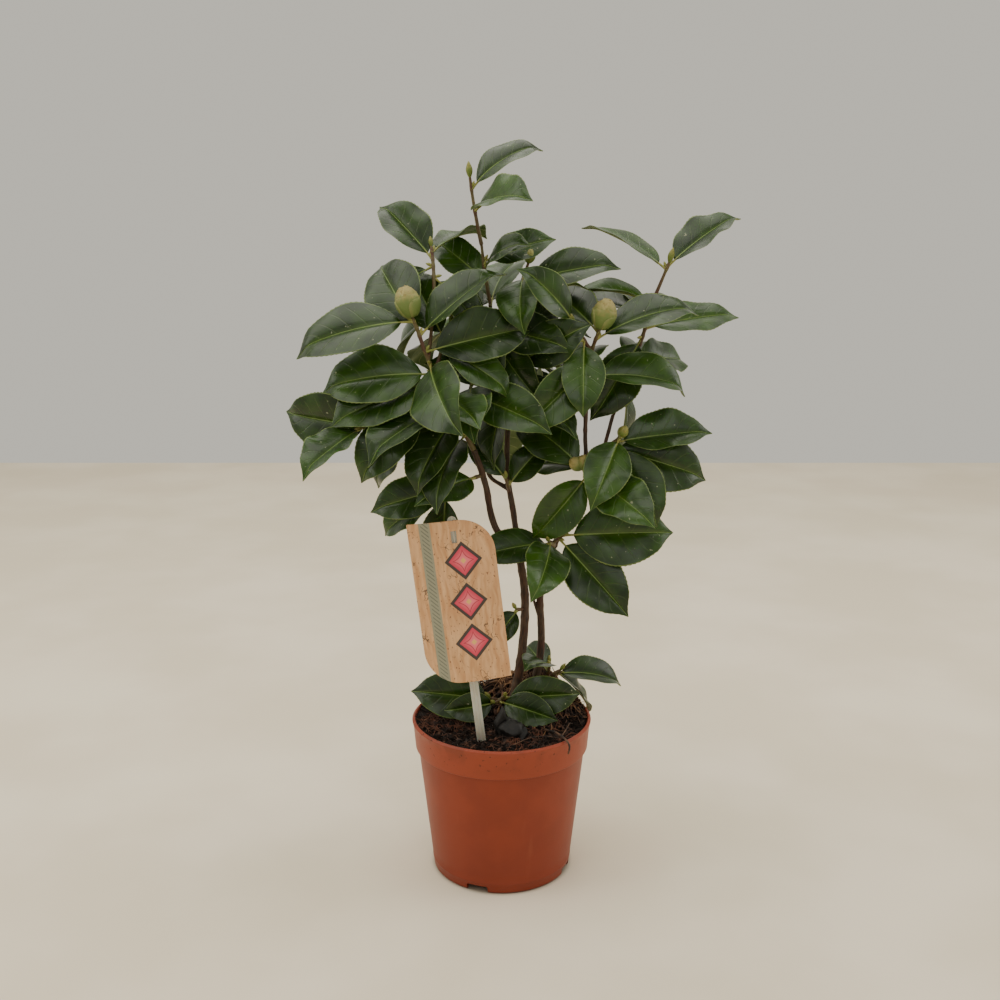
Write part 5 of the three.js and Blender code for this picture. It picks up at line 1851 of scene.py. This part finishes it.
def press_relief(piece, depth):
    """Presses lengthwise cracks into a skin and notes where each point lies on its limb."""
    tree = kdtree.KDTree(len(samples))
    for i, sample in enumerate(samples):
        tree.insert(Vector(sample.point), i)
    tree.balance()
    mesh = piece.data
    where = mesh.attributes.new("on_limb", "FLOAT_VECTOR", "POINT")
    places = np.zeros((len(mesh.vertices), 3), np.float32)
    moved = np.zeros((len(mesh.vertices), 3), np.float32)
    for i, vertex in enumerate(mesh.vertices):
        here = vertex.co / MM
        nearest = tree.find(here)[1]
        sample = samples[nearest]
        along = Vector(sample.along)
        away = here - Vector(sample.point)
        far = sample.gone + away.dot(along)
        flat = away - along * away.dot(along)
        places[i] = (flat.x * MM, flat.y * MM + flat.z * MM * CREASE_SLANT, far * MM + nearest * 1e-6)
        crack = noise.noise(Vector((flat.x * 1.1, flat.y * 1.1 + flat.z * 0.8, far / 9)))
        knob = noise.noise(here / 6)
        moved[i] = vertex.co + vertex.normal * (depth * (crack + 0.8 * knob)) * MM
    mesh.vertices.foreach_set("co", moved.ravel())
    where.data.foreach_set("vector", places.ravel())
    mesh.update()


# %% [markdown]
# The bark's colour follows the limb as well: each point of the skin knows how far up
# its limb it lies and which way it faces, so the noise can be stretched lengthwise on
# a leaning bough just as on an upright stem.

# %% The finish of bark and of green shoots


def bark_recipe(graph):
    here = place(graph)
    on_limb = graph.add("ShaderNodeAttribute", {"attribute_name": "on_limb"}, out="Vector")
    crack = grain(graph, on_limb, 0.0011, 3.0, stretch=(1, 1, 10))
    patch = grain(graph, here, 0.012, 3.0)
    colour = graph.mix(crack.rise(0.32, 0.68), srgb(33, 22, 14), srgb(80, 55, 36))
    colour = graph.mix(patch.rise(0.45, 0.72) * 0.5, colour, srgb(92, 74, 58))
    colour = graph.mix(patch.rise(0.5, 0.28) * 0.35, colour, srgb(82, 40, 25))
    roughness = 0.62 + crack * 0.2
    return {"Base Color": colour, "Roughness": roughness, "Height": crack}


def shoot_recipe(graph):
    here = place(graph)
    patch = grain(graph, here, 0.010, 3.0)
    fine = grain(graph, here, 0.0016, 2.0)
    colour = graph.mix(patch.rise(0.36, 0.66), srgb(78, 46, 28), srgb(92, 84, 42))
    colour = graph.mix(fine.rise(0.62, 0.75) * 0.5, colour, srgb(150, 122, 84))
    return {"Base Color": colour, "Height": fine}


bark = paint("camellia_bark", bark_recipe, bump=0.0004)
shoot_bark = paint("young_shoot_bark", shoot_recipe, bump=0.0002, Roughness=0.55)
limb_tubes = [limb_tube(name, limb) for name, limb in LIMBS.items()]
wood = skin_over("stems_and_boughs", limb_tubes, BARK_SIDES, BARK_VOXEL, bark)
press_relief(wood, BARK_DEPTH)
seat(wood, "bark", *LIMBS)

# %% [markdown]
# The shoots are made in the same way. Each starts as thick as what it grows from and
# soon thins to its own width, and it swells at every leaf that it carries.

# %% The shoots
TWIG_RADII = (1.9, 1.3)
TWIG_SAMPLES = 22
TWIG_SIDES = 10
TWIG_VOXEL = 0.0005
FOOT_FADE = 1.6
LEAF_SWELLING = 0.45
LEAF_SWELLING_REACH = 2.2


def shoot_tube(shoot):
    """Path and radii of a shoot, swollen where its leaves stand."""
    bends = bends_of[shoot.name]
    foot = TWIG_RADII[0]
    if shoot.mother in LIMBS and shoot.at == 1:
        foot = LIMBS[shoot.mother].radii[1]
    shares = [leaf.share for leaf in leaves if leaf.shoot == shoot.name]
    path = [curve_point(bends, i / TWIG_SAMPLES) for i in range(TWIG_SAMPLES + 1)]
    length = sum(np.linalg.norm(b - a) for a, b in zip(path, path[1:]))
    radii = []
    for i in range(TWIG_SAMPLES + 1):
        t = i / TWIG_SAMPLES
        radius = between(TWIG_RADII, t) + (foot - TWIG_RADII[0]) * max(0.0, 1 - t * FOOT_FADE)
        for share in shares:
            radius += LEAF_SWELLING * math.exp(-((t - share) * length / LEAF_SWELLING_REACH) ** 2)
        radii.append(radius)
    return path, radii


twig_tubes = [shoot_tube(shoot) for mass, shoot in shoots.values()]
twigs = skin_over("young_shoots", twig_tubes, TWIG_SIDES, TWIG_VOXEL, shoot_bark)
seat(twigs, "bark")

# %% [markdown]
# Camellia buds are wrapped in overlapping scales. A flower bud is fat and egg-shaped,
# its scales broad, downy and paler at their edges; a leaf bud is slim and pointed.
# Both come from one geometry tree. It lays down as many flat grids as there are
# scales, numbers them, and then bends each by its number: the higher the number, the
# further round by the golden angle, the taller, and the closer to the axis. Two stored
# values, the height on the bud and the nearness to a scale's edge, colour it later.

# %% A tree that wraps a bud in scales
SHORTEST_SCALE = 0.50
bud_tree, graph, wire = group("wrap_bud", {
    "Scales": "NodeSocketInt",
    "Length": "NodeSocketFloat",
    "Radius": "NodeSocketFloat",
    "Point": "NodeSocketFloat",
    "Half Angle": "NodeSocketFloat",
    "Turn": "NodeSocketRotation",
    "Foot": "NodeSocketVector",
    "Finish": "NodeSocketMaterial",
})
sheet = graph.add("GeometryNodeMeshGrid", None, {
    "Size X": 1.0, "Size Y": 1.0, "Vertices X": 9, "Vertices Y": 9,
})
line = graph.add("GeometryNodeMeshLine", None, {
    "Count": wire["Scales"], "Offset": (0.0, 0.0, 0.0),
})
number = graph.add("GeometryNodeInputIndex")
numbered = graph.add("GeometryNodeStoreNamedAttribute", {"data_type": "FLOAT"}, {
    "Geometry": line, "Name": "number", "Value": number,
})
copies = graph.add("GeometryNodeInstanceOnPoints", None, {"Points": numbered, "Instance": sheet})
real = graph.add("GeometryNodeRealizeInstances", None, {"Geometry": copies})

split = graph.node("ShaderNodeSeparateXYZ", None, {
    "Vector": graph.add("GeometryNodeInputPosition"),
})
sideways = Wire(graph, split.outputs["X"])
rise = Wire(graph, split.outputs["Y"]) + 0.5
number = graph.add("GeometryNodeInputNamedAttribute", {"data_type": "FLOAT"}, {"Name": "number"})
age = (number + 1.0) / wire["Scales"]
height = rise * (SHORTEST_SCALE + age * (1 - SHORTEST_SCALE))
narrowing = (1.0 - rise ** 5.0).math("MAXIMUM", 0.0) ** 0.5
angle = number * GOLDEN_ANGLE + sideways * narrowing * wire["Half Angle"] * 2.0
belly = (height * 0.92 + 0.07) * math.pi
girth = belly.sin().math("MAXIMUM", 0.0) ** wire["Point"]
girth = girth * (1.03 - age * 0.06 + rise ** 6.0 * 0.01) * wire["Radius"]
bent = graph.add("ShaderNodeCombineXYZ", None, {
    "X": girth * angle.cos(), "Y": girth * angle.sin(), "Z": height * wire["Length"],
})
edge = (rise ** 7.0).math("MAXIMUM", (sideways.abs() * 2.0) ** 7.0)
toned = real
for label, value in (("bud_height", height), ("bud_edge", edge)):
    toned = graph.add("GeometryNodeStoreNamedAttribute", {"data_type": "FLOAT"}, {
        "Geometry": toned, "Name": label, "Value": value,
    })
wrapped = graph.add("GeometryNodeSetPosition", None, {"Geometry": toned, "Position": bent})
moved = graph.add("GeometryNodeTransform", None, {
    "Geometry": wrapped, "Rotation": wire["Turn"], "Translation": wire["Foot"],
})
done = graph.add("GeometryNodeSetMaterial", None, {"Geometry": moved, "Material": wire["Finish"]})
graph.node("NodeGroupOutput", None, {"Geometry": done})
print("bud tree nodes:", len(bud_tree.nodes))

# %% [markdown]
# Where a shoot's row names a flower bud it gets one of that size, and small ones come
# in twos that lean apart. Every other shoot that ends free gets a slim leaf bud. The
# scales are sheets, so each is given a thickness, and a smooth core fills the space
# inside them.

# %% Place the buds
BudKind = namedtuple("BudKind", "length radius scales point half_angle")
BUD_KINDS = {
    "flower": BudKind(28, 11.2, 6, 0.55, 1.55),
    "flower_small": BudKind(15, 6.6, 6, 0.55, 1.5),
    "flower_green": BudKind(13, 5.0, 6, 0.65, 1.4),
    "leaf": BudKind(15, 2.9, 6, 1.0, 1.15),
    "small_leaf": BudKind(10, 2.0, 5, 1.0, 1.15),
}
CREAM_BUDS = ("flower", "flower_small")
SCALE_THICKNESS = 0.03
CORE_SHARE = 0.88
CORE_LENGTH = 0.955
CORE_STEPS = 9
CORE_SIDES = 12
BUD_LIFT = 0.5
BUD_LEANS = {"flower_small": (0.7, -1.3)}
BUD_SINK = 1


def bud_recipe(foot, tip, edge):
    def recipe(graph):
        here = place(graph)
        up = graph.add("ShaderNodeAttribute", {"attribute_name": "bud_height"}, out="Fac")
        rim = graph.add("ShaderNodeAttribute", {"attribute_name": "bud_edge"}, out="Fac")
        cloud = grain(graph, here, 0.004, 3.0)
        down = grain(graph, here, 0.0006, 2.0, stretch=(1, 1, 4))
        colour = graph.mix((up + cloud * 0.5).rise(0.68, 1.20), foot, tip)
        pits = grain(graph, here, 0.0013, 2.0).rise(0.56, 0.68)
        colour = graph.mix(pits * up.rise(0.2, 0.8) * 0.45, colour, srgb(128, 92, 52))
        colour = graph.mix(rim * 0.3 + down.rise(0.6, 0.78) * 0.2, colour, edge)
        return {"Base Color": colour, "Height": down}
    return recipe


bud_cream = paint(
    "flower_bud_scales", bud_recipe(srgb(98, 118, 54), srgb(152, 138, 78), srgb(184, 168, 112)),
    bump=0.00025, Roughness=0.6,
)
bud_green = paint(
    "leaf_bud_scales", bud_recipe(srgb(98, 116, 40), srgb(136, 136, 62), srgb(176, 146, 92)),
    bump=0.0002, Roughness=0.5,
)


def make_bud(kind, foot, axis, finish):
    """One bud, standing on foot and pointing along axis: its scales and its core."""
    size = BUD_KINDS[kind]
    foot, axis = Vector(foot), Vector(axis)
    turn_up = Vector((0, 0, 1)).rotation_difference(axis)
    holder = make_piece("bud_seed", [(0, 0, 0)], [], [])
    attach(bud_tree, holder, {
        "Scales": size.scales, "Length": size.length * MM, "Radius": size.radius * MM,
        "Point": size.point, "Half Angle": size.half_angle, "Turn": turn_up.to_euler(),
        "Foot": foot * MM, "Finish": finish,
    })
    thick = holder.modifiers.new("thick", "SOLIDIFY")
    thick.thickness = SCALE_THICKNESS * size.radius * MM
    thick.offset = -1
    scales = baked(holder, "bud")
    core_path = [foot + axis * size.length * t for t in np.linspace(0, CORE_LENGTH, CORE_STEPS)]
    core_radii = [
        size.radius * CORE_SHARE * max(0.05, math.sin(math.pi * (0.08 + 0.86 * t))) ** size.point
        for t in np.linspace(0, 1, CORE_STEPS)
    ]
    points, faces = tube_mesh(core_path, core_radii, CORE_SIDES)
    core = make_piece("bud_core", points, faces, [finish])
    heights = [(Vector(point) - foot).dot(axis) / size.length for point in points]
    for label, values in (("bud_height", heights), ("bud_edge", [0.0] * len(points))):
        core.data.attributes.new(label, "FLOAT", "POINT").data.foreach_set("value", values)
    return [scales, core]


mothers = {shoot.mother for mass, shoot in shoots.values() if shoot.at == 1}
buds = []
for mass, shoot in shoots.values():
    kind = shoot.bud or ("" if shoot.name in mothers else "small_leaf")
    if not kind:
        continue
    bends = bends_of[shoot.name]
    finish = bud_cream if kind in CREAM_BUDS else bud_green
    for lean in BUD_LEANS.get(kind, (0,)):
        axis = unit(curve_direction(bends, 1) + vec((lean, 0, BUD_LIFT)))
        buds += make_bud(kind, bends[2] - axis * BUD_SINK, axis, finish)
print("buds:", len(buds) // 2)
seat(joined(buds, "buds"), "foliage")

# %% [markdown]
# The scene is done. The two boxes below, of the solids and of the dressed part, show
# at a glance whether the looks have kept to the sizes.

# %% Compare the boxes and finish
dressed_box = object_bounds()
sizes = {
    "solids": [list(corner) for corner in solid_box],
    "dressed": [list(corner) for corner in dressed_box],
}
for label, box in sizes.items():
    print(label, [[round(value, 4) for value in corner] for corner in box])
